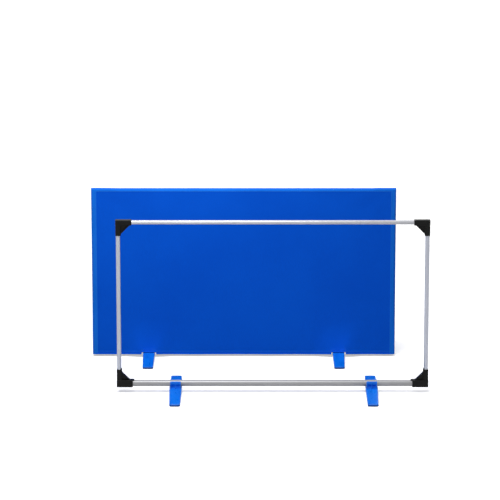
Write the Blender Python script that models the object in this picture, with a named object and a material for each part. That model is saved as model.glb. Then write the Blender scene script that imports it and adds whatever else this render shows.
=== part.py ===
"""Table tennis barrier, twice: one with its cloth cover on, and its bare frame in front.

Each barrier is a rectangle of round steel tubes pushed into four black corner connectors.
It stands on two blue plastic feet that snap on to the bottom rail. X runs along the barriers,
Y from the bare one to the covered one, Z up. The origin is on the floor, at the middle of the
pair. Lengths are in metres.
"""

import math

import bmesh
import bpy
import numpy as np

# Clearances, used wherever pieces meet
SEAT_GAP = 0.0003
CUT_OVERRUN = 0.004
SHARP_ANGLE = math.radians(32)

# Frame, outside the corner connectors
FRAME_WIDTH = 1.397
FRAME_HEIGHT = 0.7985
RAIL_UNDERSIDE = 0.028

# Steel tubes
RAIL_DIAMETER = 0.028
RAIL_WALL = 0.0014
TUBE_DIAMETER = 0.019
TUBE_WALL = 0.0012
TUBE_SIDES = 24

# Corner connectors
ARM_WALL = 0.0020
CORE_WALL = 0.0034
SOCKET_DEPTH = 0.045
ARM_STEP = 0.0004
ARM_ROUNDING = 0.0022
ARM_ROUNDING_SEGMENTS = 2
LOW_GUSSET_STOP = 0.0125
HIGH_GUSSET_STOP = 0.008
GUSSET_ROOT = 0.003
WEB_THICKNESS = 0.007
RIM_THICKNESS = 0.0042
RIM_WIDTH = 0.020

# Feet: the floor bar
FOOT_LENGTH = 0.440
FOOT_END_WIDTH = 0.048
FOOT_MID_WIDTH = 0.056
FOOT_END_HEIGHT = 0.0105
FOOT_MID_HEIGHT = 0.022
FOOT_PAD_LENGTH = 0.050
FOOT_ARCH = 0.008
FOOT_CORNER = 0.009
FOOT_EDGE = 0.003
FOOT_STATIONS = 5
ROUNDING_STEPS = 3

# Feet: the clip on the rail
CLIP_WIDTH = 0.048
CLIP_WALL = 0.0042
CLIP_RELIEF = 0.0006
CLIP_STEP = math.radians(12.25)
FRONT_JAW_ANGLE = math.radians(130)
REAR_JAW_ANGLE = math.radians(135)
RIB_BELOW_TIP = math.radians(8)
RIB_SHOULDER_ANGLE = math.radians(100)
RIB_SHOULDER = 0.002
RIB_THICKNESS = 0.004
RIB_REACH = 0.030
PEDESTAL_HALF_DEPTH = 0.017

# Cover
CLOTH = 0.0010
COVER_EASE = 0.0010
HEM_GAP = 0.010
BAND_DEPTH = 0.012
BAND_ROUNDING = 0.005
BAND_ROUNDING_STEPS = 4
FOOT_PLAY = 0.004
NOTCH_EASE = 0.0020
TENT_EASE = 0.0020
NOTCH_SLOPE = 0.010
NOTCH_SLOPE_STEPS = 4
TENT_LEVELS = 4
PANEL_LEVELS = 5
PANEL_SPACING = 0.12

# Layout of the pair on the floor
UNIT_SHIFT = 0.130
UNIT_DEPTH = 0.570

# Middle of each foot, from the outer face of the nearest connector
COVERED_FOOT_INSET = 0.2585
BARE_LEFT_FOOT_INSET = 0.2635
BARE_RIGHT_FOOT_INSET = 0.2535

# Sizes that follow from the ones above
RAIL_RADIUS = RAIL_DIAMETER / 2
RAIL_AXIS = RAIL_UNDERSIDE + RAIL_RADIUS
SLIM_ARM = TUBE_DIAMETER + 2 * (SEAT_GAP + ARM_WALL)
STOUT_ARM = RAIL_DIAMETER + 2 * (SEAT_GAP + ARM_WALL)
FRAME_BASE = RAIL_AXIS - STOUT_ARM / 2
TOP_AXIS = FRAME_HEIGHT - SLIM_ARM / 2
UPRIGHT_AXIS = (FRAME_WIDTH - SLIM_ARM) / 2
ARM_REACH = SLIM_ARM + CORE_WALL + SOCKET_DEPTH
STOUT_REACH = STOUT_ARM + CORE_WALL + SOCKET_DEPTH
UPRIGHT_BASE = FRAME_BASE + STOUT_ARM + CORE_WALL + SEAT_GAP
UPRIGHT_TOP = FRAME_HEIGHT - SLIM_ARM - CORE_WALL - SEAT_GAP
CLIP_BORE = RAIL_RADIUS + SEAT_GAP
CLIP_RADIUS = CLIP_BORE + CLIP_WALL
CLIP_TOP = RAIL_AXIS - CLIP_RADIUS * math.cos(REAR_JAW_ANGLE)
COVER_SIDE = FRAME_WIDTH / 2 + COVER_EASE + CLOTH
COVER_TOP = FRAME_HEIGHT + SEAT_GAP + CLOTH
COVER_HALF_TOP = SLIM_ARM / 2 + COVER_EASE
COVER_HALF_BASE = STOUT_ARM / 2 + COVER_EASE
BAND_SEAM = COVER_TOP - BAND_DEPTH
NOTCH_HEIGHT = FOOT_MID_HEIGHT + NOTCH_EASE
NOTCH_HALF = FOOT_MID_WIDTH / 2 + FOOT_PLAY + NOTCH_EASE
TENT_TOP = CLIP_TOP + TENT_EASE
UNIT_MIDDLE = (COVER_SIDE - FRAME_WIDTH / 2) / 2
COVERED_FOOT_PLACE = FRAME_WIDTH / 2 - COVERED_FOOT_INSET
BARE_LEFT_FOOT_PLACE = FRAME_WIDTH / 2 - BARE_LEFT_FOOT_INSET
BARE_RIGHT_FOOT_PLACE = FRAME_WIDTH / 2 - BARE_RIGHT_FOOT_INSET


def srgb(red, green, blue):
    """Linear colour with alpha for a colour written as 0 to 255 on screen."""
    steps = [value / 255 for value in (red, green, blue)]
    linear = [s / 12.92 if s <= 0.04045 else ((s + 0.055) / 1.055) ** 2.4 for s in steps]
    return (*linear, 1)


def make_material(name, colour, roughness, metallic):
    """One Principled material."""
    material = bpy.data.materials.new(name)
    material.use_nodes = True
    shader = material.node_tree.nodes["Principled BSDF"]
    shader.inputs["Base Color"].default_value = colour
    shader.inputs["Roughness"].default_value = roughness
    shader.inputs["Metallic"].default_value = metallic
    material.diffuse_color = colour
    return material


# Mesh tools

def closed_mesh(name, vertices, faces):
    """A closed mesh whose faces point outwards."""
    mesh = bpy.data.meshes.new(name)
    mesh.from_pydata([tuple(vertex) for vertex in vertices], [], faces)
    shape = bmesh.new()
    shape.from_mesh(mesh)
    bmesh.ops.recalc_face_normals(shape, faces=shape.faces)
    shape.to_mesh(mesh)
    shape.free()
    return mesh


def loft(name, sections, closed=False):
    """Skin matching sections with quads; an open loft gets a flat cap at each end."""
    rows = len(sections)
    columns = len(sections[0])
    vertices = [point for section in sections for point in section]
    faces = []
    for row in range(rows if closed else rows - 1):
        here = row * columns
        after = (row + 1) % rows * columns
        for column in range(columns):
            beside = (column + 1) % columns
            faces.append((here + column, here + beside, after + beside, after + column))
    if not closed:
        faces.append(tuple(range(columns)))
        faces.append(tuple(range((rows - 1) * columns, rows * columns)))
    return closed_mesh(name, vertices, faces)


def cloth_shell(name, outer, inner):
    """A thin closed sheet between two matching grids of points."""
    rows, columns, _ = outer.shape
    count = rows * columns
    vertices = np.concatenate([outer.reshape(count, 3), inner.reshape(count, 3)])
    faces = []
    for row in range(rows - 1):
        for column in range(columns - 1):
            start = row * columns + column
            quad = (start, start + 1, start + columns + 1, start + columns)
            faces.append(quad)
            faces.append(tuple(corner + count for corner in reversed(quad)))
    rim = [*range(columns - 1)]
    rim += [row * columns + columns - 1 for row in range(rows - 1)]
    rim += [count - 1 - column for column in range(columns - 1)]
    rim += [row * columns for row in range(rows - 1, 0, -1)]
    for here, after in zip(rim, rim[1:] + rim[:1]):
        faces.append((here, after, after + count, here + count))
    return closed_mesh(name, vertices, faces)


def helper(mesh):
    """A working object for one operand of a Boolean."""
    item = bpy.data.objects.new(mesh.name, mesh)
    bpy.context.scene.collection.objects.link(item)
    return item


def fuse(name, solids, cutters):
    """The union of the solids, less the cutters, as one mesh."""
    helpers = [helper(mesh) for mesh in solids]
    tools = [helper(mesh) for mesh in cutters]
    base = helpers[0]
    for operation, operands in (("UNION", helpers[1:]), ("DIFFERENCE", tools)):
        for operand in operands:
            modifier = base.modifiers.new(operand.name, "BOOLEAN")
            modifier.operation = operation
            modifier.object = operand
    bpy.context.view_layer.update()
    graph = bpy.context.evaluated_depsgraph_get()
    mesh = bpy.data.meshes.new_from_object(base.evaluated_get(graph))
    mesh.name = name
    for item in helpers + tools:
        bpy.data.objects.remove(item)
    return mesh


def rounded_box(name, low, high, radius, segments):
    """A box between two corners, with all its edges rounded."""
    shape = bmesh.new()
    bmesh.ops.create_cube(shape, size=1)
    for vertex in shape.verts:
        vertex.co = [(a + b) / 2 + (b - a) * c for a, b, c in zip(low, high, vertex.co)]
    bmesh.ops.bevel(shape, geom=shape.edges[:], offset=radius, segments=segments,
                    affect="EDGES", profile=0.5, clamp_overlap=True)
    mesh = bpy.data.meshes.new(name)
    shape.to_mesh(mesh)
    shape.free()
    return mesh


def prism(name, outline, low, high, lift):
    """An outline of pairs extruded from low to high; lift places a pair and a height."""
    sections = [[lift(pair, height) for pair in outline] for height in (low, high)]
    return loft(name, sections)


def side_view(pair, height):
    """A pair drawn in Y and Z, extruded along X."""
    return (height, pair[0], pair[1])


def front_view(pair, height):
    """A pair drawn in X and Z, extruded along Y."""
    return (pair[0], height, pair[1])


def upright_view(pair, height):
    """A pair drawn in X and Y, extruded along Z."""
    return (pair[0], pair[1], height)


def turned(angle, radius):
    """A point on a circle, in Y and Z, with the angle counted from straight down to +Y."""
    return (radius * math.sin(angle), -radius * math.cos(angle))


def mirror_in_x(name, mesh):
    """A mirrored copy with its faces still pointing outwards."""
    copy = mesh.copy()
    copy.name = name
    shape = bmesh.new()
    shape.from_mesh(copy)
    for vertex in shape.verts:
        vertex.co.x = -vertex.co.x
    bmesh.ops.reverse_faces(shape, faces=shape.faces)
    shape.to_mesh(copy)
    shape.free()
    return copy


# Tubes and round cutters

def circle(radius, sides):
    """Points of a circle as pairs, with a flat side at the top and bottom."""
    angles = (np.arange(sides) + 0.5) * 2 * math.pi / sides
    return np.stack([radius * np.cos(angles), radius * np.sin(angles)], axis=1)


def tube_mesh(name, diameter, wall, length, along):
    """A hollow round tube with open ends, centred on its middle."""
    outer = circle(diameter / 2, TUBE_SIDES)
    inner = circle(diameter / 2 - wall, TUBE_SIDES)
    half = length / 2
    sections = []
    for out, within in zip(outer, inner):
        ring = ((out, -half), (out, half), (within, half), (within, -half))
        sections.append([along(pair, height) for pair, height in ring])
    return loft(name, sections, closed=True)


def rod_mesh(name, radius, low, high, along, centre):
    """A solid round rod, used as a cutter."""
    outline = [(a + centre[0], b + centre[1]) for a, b in circle(radius, TUBE_SIDES)]
    return prism(name, outline, low, high, along)


# Corner connectors, modelled for the left side with the outer corner at the local origin.
# X runs inwards along the rail and Z along the upright, so that a top one is turned over.

def connector_mesh(name, rail_arm, rail_bore, upright_reach, gusset_stop, turn_over):
    """An elbow with a socket for the rail, a socket for the upright and a ribbed gusset."""
    up = -1 if turn_over else 1
    half_rail = rail_arm / 2
    half_slim = SLIM_ARM / 2

    def box(label, span_x, span_z, half_depth):
        low_z, high_z = sorted(up * z for z in span_z)
        return rounded_box(label, (span_x[0], -half_depth, low_z),
                           (span_x[1], half_depth, high_z),
                           ARM_ROUNDING, ARM_ROUNDING_SEGMENTS)

    def plate(label, outline, half_depth):
        return prism(label, [(x, up * z) for x, z in outline], -half_depth, half_depth,
                     front_view)

    rail_stop = ARM_REACH - gusset_stop
    upright_stop = upright_reach - gusset_stop
    root_x = SLIM_ARM - GUSSET_ROOT
    root_z = rail_arm - GUSSET_ROOT
    slope = math.hypot(rail_stop - SLIM_ARM, upright_stop - rail_arm)
    step_x = RIM_THICKNESS * slope / (upright_stop - rail_arm)
    step_z = RIM_THICKNESS * slope / (rail_stop - SLIM_ARM)
    web_x = rail_stop - step_x / 2
    web_z = upright_stop - step_z / 2
    web = [(root_x, root_z), (web_x, root_z), (web_x, rail_arm),
           (SLIM_ARM, web_z), (root_x, web_z)]
    rim = [(rail_stop - step_x, root_z), (rail_stop, root_z), (rail_stop, rail_arm),
           (SLIM_ARM, upright_stop), (root_x, upright_stop), (root_x, upright_stop - step_z)]
    solids = [
        box("rail arm", (0, ARM_REACH), (0, rail_arm), half_rail),
        box("upright arm", (ARM_STEP, SLIM_ARM), (half_rail, upright_reach),
            half_slim - ARM_STEP),
        plate("web", web, WEB_THICKNESS / 2),
        plate("rim", rim, RIM_WIDTH / 2),
    ]
    rail_socket = ARM_REACH - SOCKET_DEPTH
    upright_socket = upright_reach - SOCKET_DEPTH
    low, high = sorted((up * upright_socket, up * (upright_reach + CUT_OVERRUN)))
    cutters = [
        rod_mesh("rail socket", rail_bore / 2 + SEAT_GAP, rail_socket,
                 ARM_REACH + CUT_OVERRUN, side_view, (0, up * half_rail)),
        rod_mesh("upright socket", TUBE_DIAMETER / 2 + SEAT_GAP, low, high,
                 upright_view, (half_slim, 0)),
    ]
    return fuse(name, solids, cutters)


# Feet, modelled around the rail's axis at the local origin

def bar_section(y):
    """The floor bar's outline across X at one place along it, with rounded top edges."""
    half_length = FOOT_LENGTH / 2
    away = abs(y)
    share = away / half_length
    half_width = (FOOT_MID_WIDTH + (FOOT_END_WIDTH - FOOT_MID_WIDTH) * share) / 2
    slope_share = max(0, (away - RIB_REACH) / (half_length - RIB_REACH))
    top = FOOT_MID_HEIGHT + (FOOT_END_HEIGHT - FOOT_MID_HEIGHT) * slope_share
    arch_share = min(1, away / (half_length - FOOT_PAD_LENGTH))
    base = FOOT_ARCH * (1 - arch_share ** 2)
    past = max(0, away - (half_length - FOOT_CORNER))
    drawn_in = FOOT_CORNER - math.sqrt(max(0, FOOT_CORNER ** 2 - past ** 2))
    half_width -= drawn_in
    top -= drawn_in * FOOT_EDGE / FOOT_CORNER
    edge = [(FOOT_EDGE * (1 - math.cos(turn)), FOOT_EDGE * (1 - math.sin(turn)))
            for turn in (0, math.pi / 4, math.pi / 2)]
    left = [(inset - half_width, top - drop) for inset, drop in edge]
    right = [(half_width - inset, top - drop) for inset, drop in reversed(edge)]
    outline = [(-half_width, base), *left, *right, (half_width, base)]
    return [(x, y, z - RAIL_AXIS) for x, z in outline]


def bar_stations():
    """Places along the floor bar, closer together where its ends are rounded."""
    half_length = FOOT_LENGTH / 2
    corner_start = half_length - FOOT_CORNER
    turns = np.arange(1, ROUNDING_STEPS + 1) * math.pi / 2 / ROUNDING_STEPS
    pad_start = half_length - FOOT_PAD_LENGTH
    half = [*np.linspace(RIB_REACH, pad_start, FOOT_STATIONS), corner_start]
    half += [corner_start + FOOT_CORNER * math.sin(turn) for turn in turns]
    return [-y for y in reversed(half)] + half


def clip_ring():
    """The clip's round wall, from its front jaw under the rail to its rear jaw."""
    count = round((FRONT_JAW_ANGLE + REAR_JAW_ANGLE) / CLIP_STEP)
    half = CLIP_WIDTH / 2 - CLIP_RELIEF
    sections = []
    for angle in np.linspace(-FRONT_JAW_ANGLE, REAR_JAW_ANGLE, count + 1):
        wall = (turned(angle, CLIP_RADIUS), turned(angle, CLIP_BORE - CLIP_RELIEF))
        sections.append([side_view(wall[0], -half), side_view(wall[0], half),
                         side_view(wall[1], half), side_view(wall[1], -half)])
    return loft("clip ring", sections)


def foot_mesh():
    """One foot: the bar on the floor, the clip round the rail and its six ribs."""
    bar_top = FOOT_MID_HEIGHT - RAIL_AXIS
    sunk = bar_top - FOOT_EDGE
    shoulder = CLIP_RADIUS + RIB_SHOULDER
    near_tip = CLIP_RADIUS + RIB_SHOULDER / 2
    rib = [(-RIB_REACH, sunk), (-RIB_REACH, bar_top),
           turned(-RIB_SHOULDER_ANGLE, shoulder),
           turned(RIB_BELOW_TIP - FRONT_JAW_ANGLE, near_tip), (0, 0),
           turned(REAR_JAW_ANGLE - RIB_BELOW_TIP, near_tip),
           turned(RIB_SHOULDER_ANGLE, shoulder),
           (RIB_REACH, bar_top), (RIB_REACH, sunk)]
    pedestal = [(-PEDESTAL_HALF_DEPTH, sunk), (PEDESTAL_HALF_DEPTH, sunk), (0, 0)]
    half_pedestal = CLIP_WIDTH / 2 - 2 * CLIP_RELIEF
    solids = [loft("bar", [bar_section(y) for y in bar_stations()]),
              prism("pedestal", pedestal, -half_pedestal, half_pedestal, side_view),
              clip_ring()]
    for middle in (RIB_THICKNESS / 2 - CLIP_WIDTH / 2, 0, CLIP_WIDTH / 2 - RIB_THICKNESS / 2):
        solids.append(prism("rib", rib, middle - RIB_THICKNESS / 2,
                            middle + RIB_THICKNESS / 2, side_view))
    bore = rod_mesh("clip bore", CLIP_BORE, -CLIP_WIDTH, CLIP_WIDTH, side_view, (0, 0))
    return fuse("foot", solids, [bore])


# Cover

def cover_half(z):
    """The inside half depth of the sleeve at a height: wide over the rail, slim at the top."""
    share = np.clip((z - TENT_TOP) / (BAND_SEAM - TENT_TOP), 0, 1)
    return COVER_HALF_BASE + (COVER_HALF_TOP - COVER_HALF_BASE) * share


def raised_share(x):
    """How far the hem is raised at a place along the cover: 1 over a foot, 0 away from it."""
    away = np.min([np.abs(x - COVERED_FOOT_PLACE), np.abs(x + COVERED_FOOT_PLACE)], axis=0)
    share = np.clip(1 - (away - NOTCH_HALF) / NOTCH_SLOPE, 0, 1)
    return share * share * (3 - 2 * share)


def tent_depth():
    """How far the cloth stands out at the raised hem to clear the clip and its ribs."""
    rise = TENT_TOP - NOTCH_HEIGHT
    over_ribs = RIB_REACH + TENT_EASE - COVER_HALF_BASE
    over_ring = (CLIP_RADIUS + TENT_EASE - COVER_HALF_BASE) * rise / (TENT_TOP - RAIL_AXIS)
    return max(over_ribs, over_ring, 0)


def panel_places():
    """Places along a panel: its ends, even steps, and close steps at the raised hems."""
    end = COVER_SIDE - BAND_DEPTH - SEAT_GAP
    places = [*np.linspace(-end, end, round(2 * end / PANEL_SPACING) + 1)]
    near = NOTCH_HALF + NOTCH_SLOPE
    for foot in (-COVERED_FOOT_PLACE, COVERED_FOOT_PLACE):
        places = [x for x in places if abs(x - foot) > near + NOTCH_SLOPE]
        steps = np.linspace(NOTCH_HALF, near, NOTCH_SLOPE_STEPS + 1)
        places += [*(foot + steps), *(foot - steps), foot]
    return np.array(sorted(places))


def panel_mesh(name, side):
    """A flat panel of the sleeve; side is -1 for the front one and 1 for the back one."""
    x = panel_places()
    hem = HEM_GAP + (NOTCH_HEIGHT - HEM_GAP) * raised_share(x)
    tent_shares = np.arange(TENT_LEVELS) / TENT_LEVELS
    low = hem + (TENT_TOP - hem) * tent_shares[:, None]
    high = np.linspace(TENT_TOP, BAND_SEAM - SEAT_GAP, PANEL_LEVELS)[:, None] + 0 * x
    z = np.concatenate([low, high])
    out_share = np.clip((TENT_TOP - z) / (TENT_TOP - NOTCH_HEIGHT), 0, 1)
    inside = cover_half(z) + tent_depth() * raised_share(x) * out_share
    across = x + 0 * z
    outer = np.stack([across, side * (inside + CLOTH), z - COVER_TOP], axis=2)
    inner = np.stack([across, side * inside, z - COVER_TOP], axis=2)
    return cloth_shell(name, outer, inner)


def band_section(half, rounding, depth):
    """A band's outline from one seam over the edge to the other, as depths and widths."""
    turns = np.linspace(0, math.pi / 2, BAND_ROUNDING_STEPS + 1)
    inward = [BAND_DEPTH, *(depth + rounding * (1 - np.sin(turns)))]
    width = [half, *(half - rounding * (1 - np.cos(turns)))]
    inward = np.array(inward + inward[::-1])
    width = np.array(width + [-w for w in width[::-1]])
    return inward, width


def band_grids(halves):
    """Outer and inner outlines of a band for each half depth in a list."""
    outer = [band_section(half + CLOTH, BAND_ROUNDING, 0) for half in halves]
    inner = [band_section(half, BAND_ROUNDING - CLOTH, CLOTH) for half in halves]
    return outer, inner


def top_band_mesh():
    """The band over the top rail, mitred at both ends to meet the side bands."""
    grids = []
    for outline in band_grids([COVER_HALF_TOP]):
        inward, width = outline[0]
        end = COVER_SIDE - inward - SEAT_GAP
        rows = [np.stack([side * end, width, -inward], axis=1) for side in (-1, 1)]
        grids.append(np.array(rows))
    return cloth_shell("top band", *grids)


def side_band_mesh(name, side):
    """The band over one upright, from the hem to the mitre at the top."""
    grids = []
    for outlines in band_grids([COVER_HALF_BASE, COVER_HALF_BASE, COVER_HALF_TOP]):
        rows = []
        for (inward, width), height in zip(outlines, (HEM_GAP, TENT_TOP, None)):
            mitre = -inward - SEAT_GAP
            level = mitre if height is None else 0 * inward + height - COVER_TOP
            rows.append(np.stack([side * (COVER_SIDE - inward), width, level], axis=1))
        grids.append(np.array(rows))
    return cloth_shell(name, *grids)


# Assembly

def finish_mesh(mesh, material):
    """Give a mesh its material and smooth shading between sharp edges."""
    mesh.materials.clear()
    mesh.materials.append(material)
    mesh.shade_smooth()
    mesh.set_sharp_from_angle(angle=SHARP_ANGLE)
    return mesh


def place(name, mesh, parent, location):
    """A named piece of the model under its unit's empty."""
    piece = bpy.data.objects.new(name, mesh)
    bpy.context.scene.collection.objects.link(piece)
    piece.parent = parent
    piece.location = location
    return piece


def unit_empty(name, x, y):
    """The empty at the middle of one barrier, on the floor."""
    empty = bpy.data.objects.new(name, None)
    bpy.context.scene.collection.objects.link(empty)
    empty.location = (x, y, 0)
    return empty


def frame_shapes(steel, black, blue):
    """The meshes that both barriers share, by the name of the piece."""
    rail_length = FRAME_WIDTH - 2 * (ARM_REACH - SOCKET_DEPTH + SEAT_GAP)
    upright_length = UPRIGHT_TOP - UPRIGHT_BASE
    low = connector_mesh("low connector", STOUT_ARM, RAIL_DIAMETER, STOUT_REACH,
                         LOW_GUSSET_STOP, False)
    high = connector_mesh("high connector", SLIM_ARM, TUBE_DIAMETER, ARM_REACH,
                          HIGH_GUSSET_STOP, True)
    shapes = {
        "top_rail": tube_mesh("top rail", TUBE_DIAMETER, TUBE_WALL, rail_length, side_view),
        "bottom_rail": tube_mesh("bottom rail", RAIL_DIAMETER, RAIL_WALL, rail_length,
                                 side_view),
        "upright": tube_mesh("upright", TUBE_DIAMETER, TUBE_WALL, upright_length,
                             upright_view),
    }
    for name, mesh in shapes.items():
        finish_mesh(mesh, steel)
    connectors = {
        "bottom_left_connector": low,
        "bottom_right_connector": mirror_in_x("low connector mirrored", low),
        "top_left_connector": high,
        "top_right_connector": mirror_in_x("high connector mirrored", high),
    }
    for name, mesh in connectors.items():
        shapes[name] = finish_mesh(mesh, black)
    shapes["foot"] = finish_mesh(foot_mesh(), blue)
    return shapes


def build_frame(prefix, unit, shapes, left_foot, right_foot):
    """Tubes, connectors and feet of one barrier."""
    half = FRAME_WIDTH / 2
    upright_middle = (UPRIGHT_TOP + UPRIGHT_BASE) / 2
    spots = [
        ("top_rail", "top_rail", (0, 0, TOP_AXIS)),
        ("bottom_rail", "bottom_rail", (0, 0, RAIL_AXIS)),
        ("left_upright", "upright", (-UPRIGHT_AXIS, 0, upright_middle)),
        ("right_upright", "upright", (UPRIGHT_AXIS, 0, upright_middle)),
        ("top_left_connector", "top_left_connector", (-half, 0, FRAME_HEIGHT)),
        ("top_right_connector", "top_right_connector", (half, 0, FRAME_HEIGHT)),
        ("bottom_left_connector", "bottom_left_connector", (-half, 0, FRAME_BASE)),
        ("bottom_right_connector", "bottom_right_connector", (half, 0, FRAME_BASE)),
        ("left_foot", "foot", (-left_foot, 0, RAIL_AXIS)),
        ("right_foot", "foot", (right_foot, 0, RAIL_AXIS)),
    ]
    for name, shape, location in spots:
        place(prefix + name, shapes[shape], unit, location)


def build_cover(unit, cloth):
    """The five sewn pieces of the cover, with their origin at the middle of its top."""
    pieces = {
        "cover_front_panel": panel_mesh("front panel", -1),
        "cover_back_panel": panel_mesh("back panel", 1),
        "cover_top_band": top_band_mesh(),
        "cover_left_band": side_band_mesh("left band", -1),
        "cover_right_band": side_band_mesh("right band", 1),
    }
    for name, mesh in pieces.items():
        place(name, finish_mesh(mesh, cloth), unit, (0, 0, COVER_TOP))


def main():
    """Clear the file and build both barriers."""
    for item in list(bpy.data.objects):
        bpy.data.objects.remove(item)
    steel = make_material("bright steel", srgb(196, 196, 200), 0.28, 1)
    black = make_material("black plastic", srgb(24, 24, 25), 0.45, 0)
    blue = make_material("blue plastic", srgb(10, 104, 226), 0.32, 0)
    cloth = make_material("blue cloth", srgb(6, 78, 200), 0.6, 0)
    shapes = frame_shapes(steel, black, blue)
    covered = unit_empty("covered_unit", UNIT_MIDDLE - UNIT_SHIFT / 2, UNIT_DEPTH / 2)
    bare = unit_empty("bare_unit", UNIT_MIDDLE + UNIT_SHIFT / 2, -UNIT_DEPTH / 2)
    build_frame("covered_", covered, shapes, COVERED_FOOT_PLACE, COVERED_FOOT_PLACE)
    build_cover(covered, cloth)
    build_frame("bare_", bare, shapes, BARE_LEFT_FOOT_PLACE, BARE_RIGHT_FOOT_PLACE)


main()
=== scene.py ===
"""Looks of the table tennis barrier: a covered one behind and its bare frame in front.

Lengths are in metres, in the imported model's frame: X runs along the barriers, Y from the
bare one to the covered one and Z up.
"""

import logging
import math
from dataclasses import dataclass, replace
from enum import Enum
from typing import Self

import bmesh
import bpy
import numpy as np
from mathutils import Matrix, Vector


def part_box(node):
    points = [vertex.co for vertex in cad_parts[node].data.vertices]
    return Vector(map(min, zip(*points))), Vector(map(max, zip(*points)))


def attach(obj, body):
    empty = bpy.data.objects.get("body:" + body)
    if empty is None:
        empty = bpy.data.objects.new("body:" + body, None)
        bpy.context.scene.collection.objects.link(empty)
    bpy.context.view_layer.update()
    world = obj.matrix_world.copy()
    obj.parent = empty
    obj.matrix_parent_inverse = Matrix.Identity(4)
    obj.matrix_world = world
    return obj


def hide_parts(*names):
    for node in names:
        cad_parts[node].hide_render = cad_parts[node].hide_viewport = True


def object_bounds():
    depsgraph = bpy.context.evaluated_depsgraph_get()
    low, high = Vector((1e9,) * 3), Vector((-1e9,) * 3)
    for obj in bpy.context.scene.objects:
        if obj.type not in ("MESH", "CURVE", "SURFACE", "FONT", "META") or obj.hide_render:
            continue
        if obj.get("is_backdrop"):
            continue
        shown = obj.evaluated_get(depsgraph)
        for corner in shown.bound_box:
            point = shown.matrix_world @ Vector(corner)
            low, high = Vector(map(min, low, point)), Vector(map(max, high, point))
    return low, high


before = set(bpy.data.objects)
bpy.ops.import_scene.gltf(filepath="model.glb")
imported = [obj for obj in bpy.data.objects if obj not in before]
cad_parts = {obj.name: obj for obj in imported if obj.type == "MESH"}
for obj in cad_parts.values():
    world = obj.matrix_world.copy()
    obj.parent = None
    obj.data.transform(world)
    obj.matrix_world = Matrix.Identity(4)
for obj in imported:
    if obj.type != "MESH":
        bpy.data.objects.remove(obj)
cad_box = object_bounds()

Array = np.ndarray
Socket = bpy.types.NodeSocket
Colour = tuple[int, int, int]
Place = tuple[float, float, float]
log = logging.getLogger("barrier")

WELD = 0.000002
CREASE = math.radians(36)


class Slot(Enum):
    """The record's material slots."""

    STEEL = "steel_tube"
    BLACK = "connector_plastic"
    BLUE = "foot_plastic"
    CLOTH = "cover_cloth"


class Run(Enum):
    """The axis that a tube, an arm or a band runs along."""

    ALONG_X = 0
    ALONG_Z = 2


class Face(Enum):
    """The two faces of the cover."""

    FRONT = -1
    BACK = 1


class Hand(Enum):
    """The two ends of a barrier."""

    LEFT = -1
    RIGHT = 1


# Shape tools


def eased(share: Array) -> Array:
    """A share held between 0 and 1 that leaves and arrives level: 3s^2 - 2s^3.

    Args:
        share: Values of the share, any shape.

    Returns:
        The eased values.
    """
    held = np.clip(share, 0, 1)
    return held * held * (3 - 2 * held)


def unit(vectors: Array) -> Array:
    """Vectors of the same directions, each one long."""
    return vectors / np.linalg.norm(vectors, axis=-1, keepdims=True)


def quarter(points: int) -> Array:
    """Angles of a quarter turn."""
    return np.linspace(0, np.pi / 2, points)


def distance_along(points: Array) -> Array:
    """How far along its line each point is: the sum of the steps up to it.

    Args:
        points: Lines of points; the last axis but one counts the points.

    Returns:
        The distances, which start at 0.
    """
    step = np.linalg.norm(np.diff(points, axis=-2), axis=-1)
    return np.concatenate([np.zeros_like(step[..., :1]), np.cumsum(step, axis=-1)], axis=-1)


def srgb(red: float, green: float, blue: float) -> tuple[float, float, float, float]:
    """Linear colour with alpha for a colour written as 0 to 255 on screen.

    A share c becomes c / 12.92 up to 0.04045 and ((c + 0.055) / 1.055)^2.4 above it.

    Args:
        red: The red step, from 0 to 255.
        green: The green step.
        blue: The blue step.

    Returns:
        Red, green, blue and alpha as shares.
    """
    steps = np.array([red, green, blue]) / 255
    linear = np.where(steps <= 0.04045, steps / 12.92, ((steps + 0.055) / 1.055) ** 2.4)
    return (*linear.tolist(), 1.0)


def rounded_square(angles: Array, half: float, corner: float) -> Array:
    """Distance from the middle of a square with round corners, along each angle.

    On a side the distance is half / cos(angle). At a corner it is where the ray leaves the
    corner's circle: b + sqrt(b^2 - q), with b = (half - corner)(cos + sin) and
    q = 2 (half - corner)^2 - corner^2.

    Args:
        angles: Directions in radians.
        half: Half the square's side.
        corner: Radius of its corners.

    Returns:
        One distance per angle.
    """
    across = np.maximum(np.abs(np.cos(angles)), np.abs(np.sin(angles)))
    beside = np.minimum(np.abs(np.cos(angles)), np.abs(np.sin(angles)))
    flat = half / across
    reach = half - corner
    b = reach * (across + beside)
    q = 2 * reach**2 - corner**2
    round_part = b + np.sqrt(np.maximum(b * b - q, 0))
    return np.where(flat * beside > reach, round_part, flat)


def rounded_rectangle(half_u: Array, half_v: Array, radius: float, around: int = 4) -> Array:
    """Outlines of rectangles with round corners: each corner's centre plus a quarter circle.

    Args:
        half_u: Half widths, one per outline.
        half_v: Half heights, one per outline.
        radius: Radius of the corners.
        around: Points round each corner.

    Returns:
        Points as outlines by 4 around by 2.
    """
    quarters = np.arange(4)[:, None] * np.pi / 2 + quarter(around)
    sign_u = np.array([1, -1, -1, 1])[:, None]
    sign_v = np.array([1, 1, -1, -1])[:, None]
    wide = np.asarray(half_u, float)[..., None, None] - radius
    high = np.asarray(half_v, float)[..., None, None] - radius
    u = sign_u * wide + radius * np.cos(quarters)
    v = sign_v * high + radius * np.sin(quarters)
    pairs = np.stack([u, v], axis=-1)
    return pairs.reshape(*pairs.shape[:-3], -1, 2)


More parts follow.
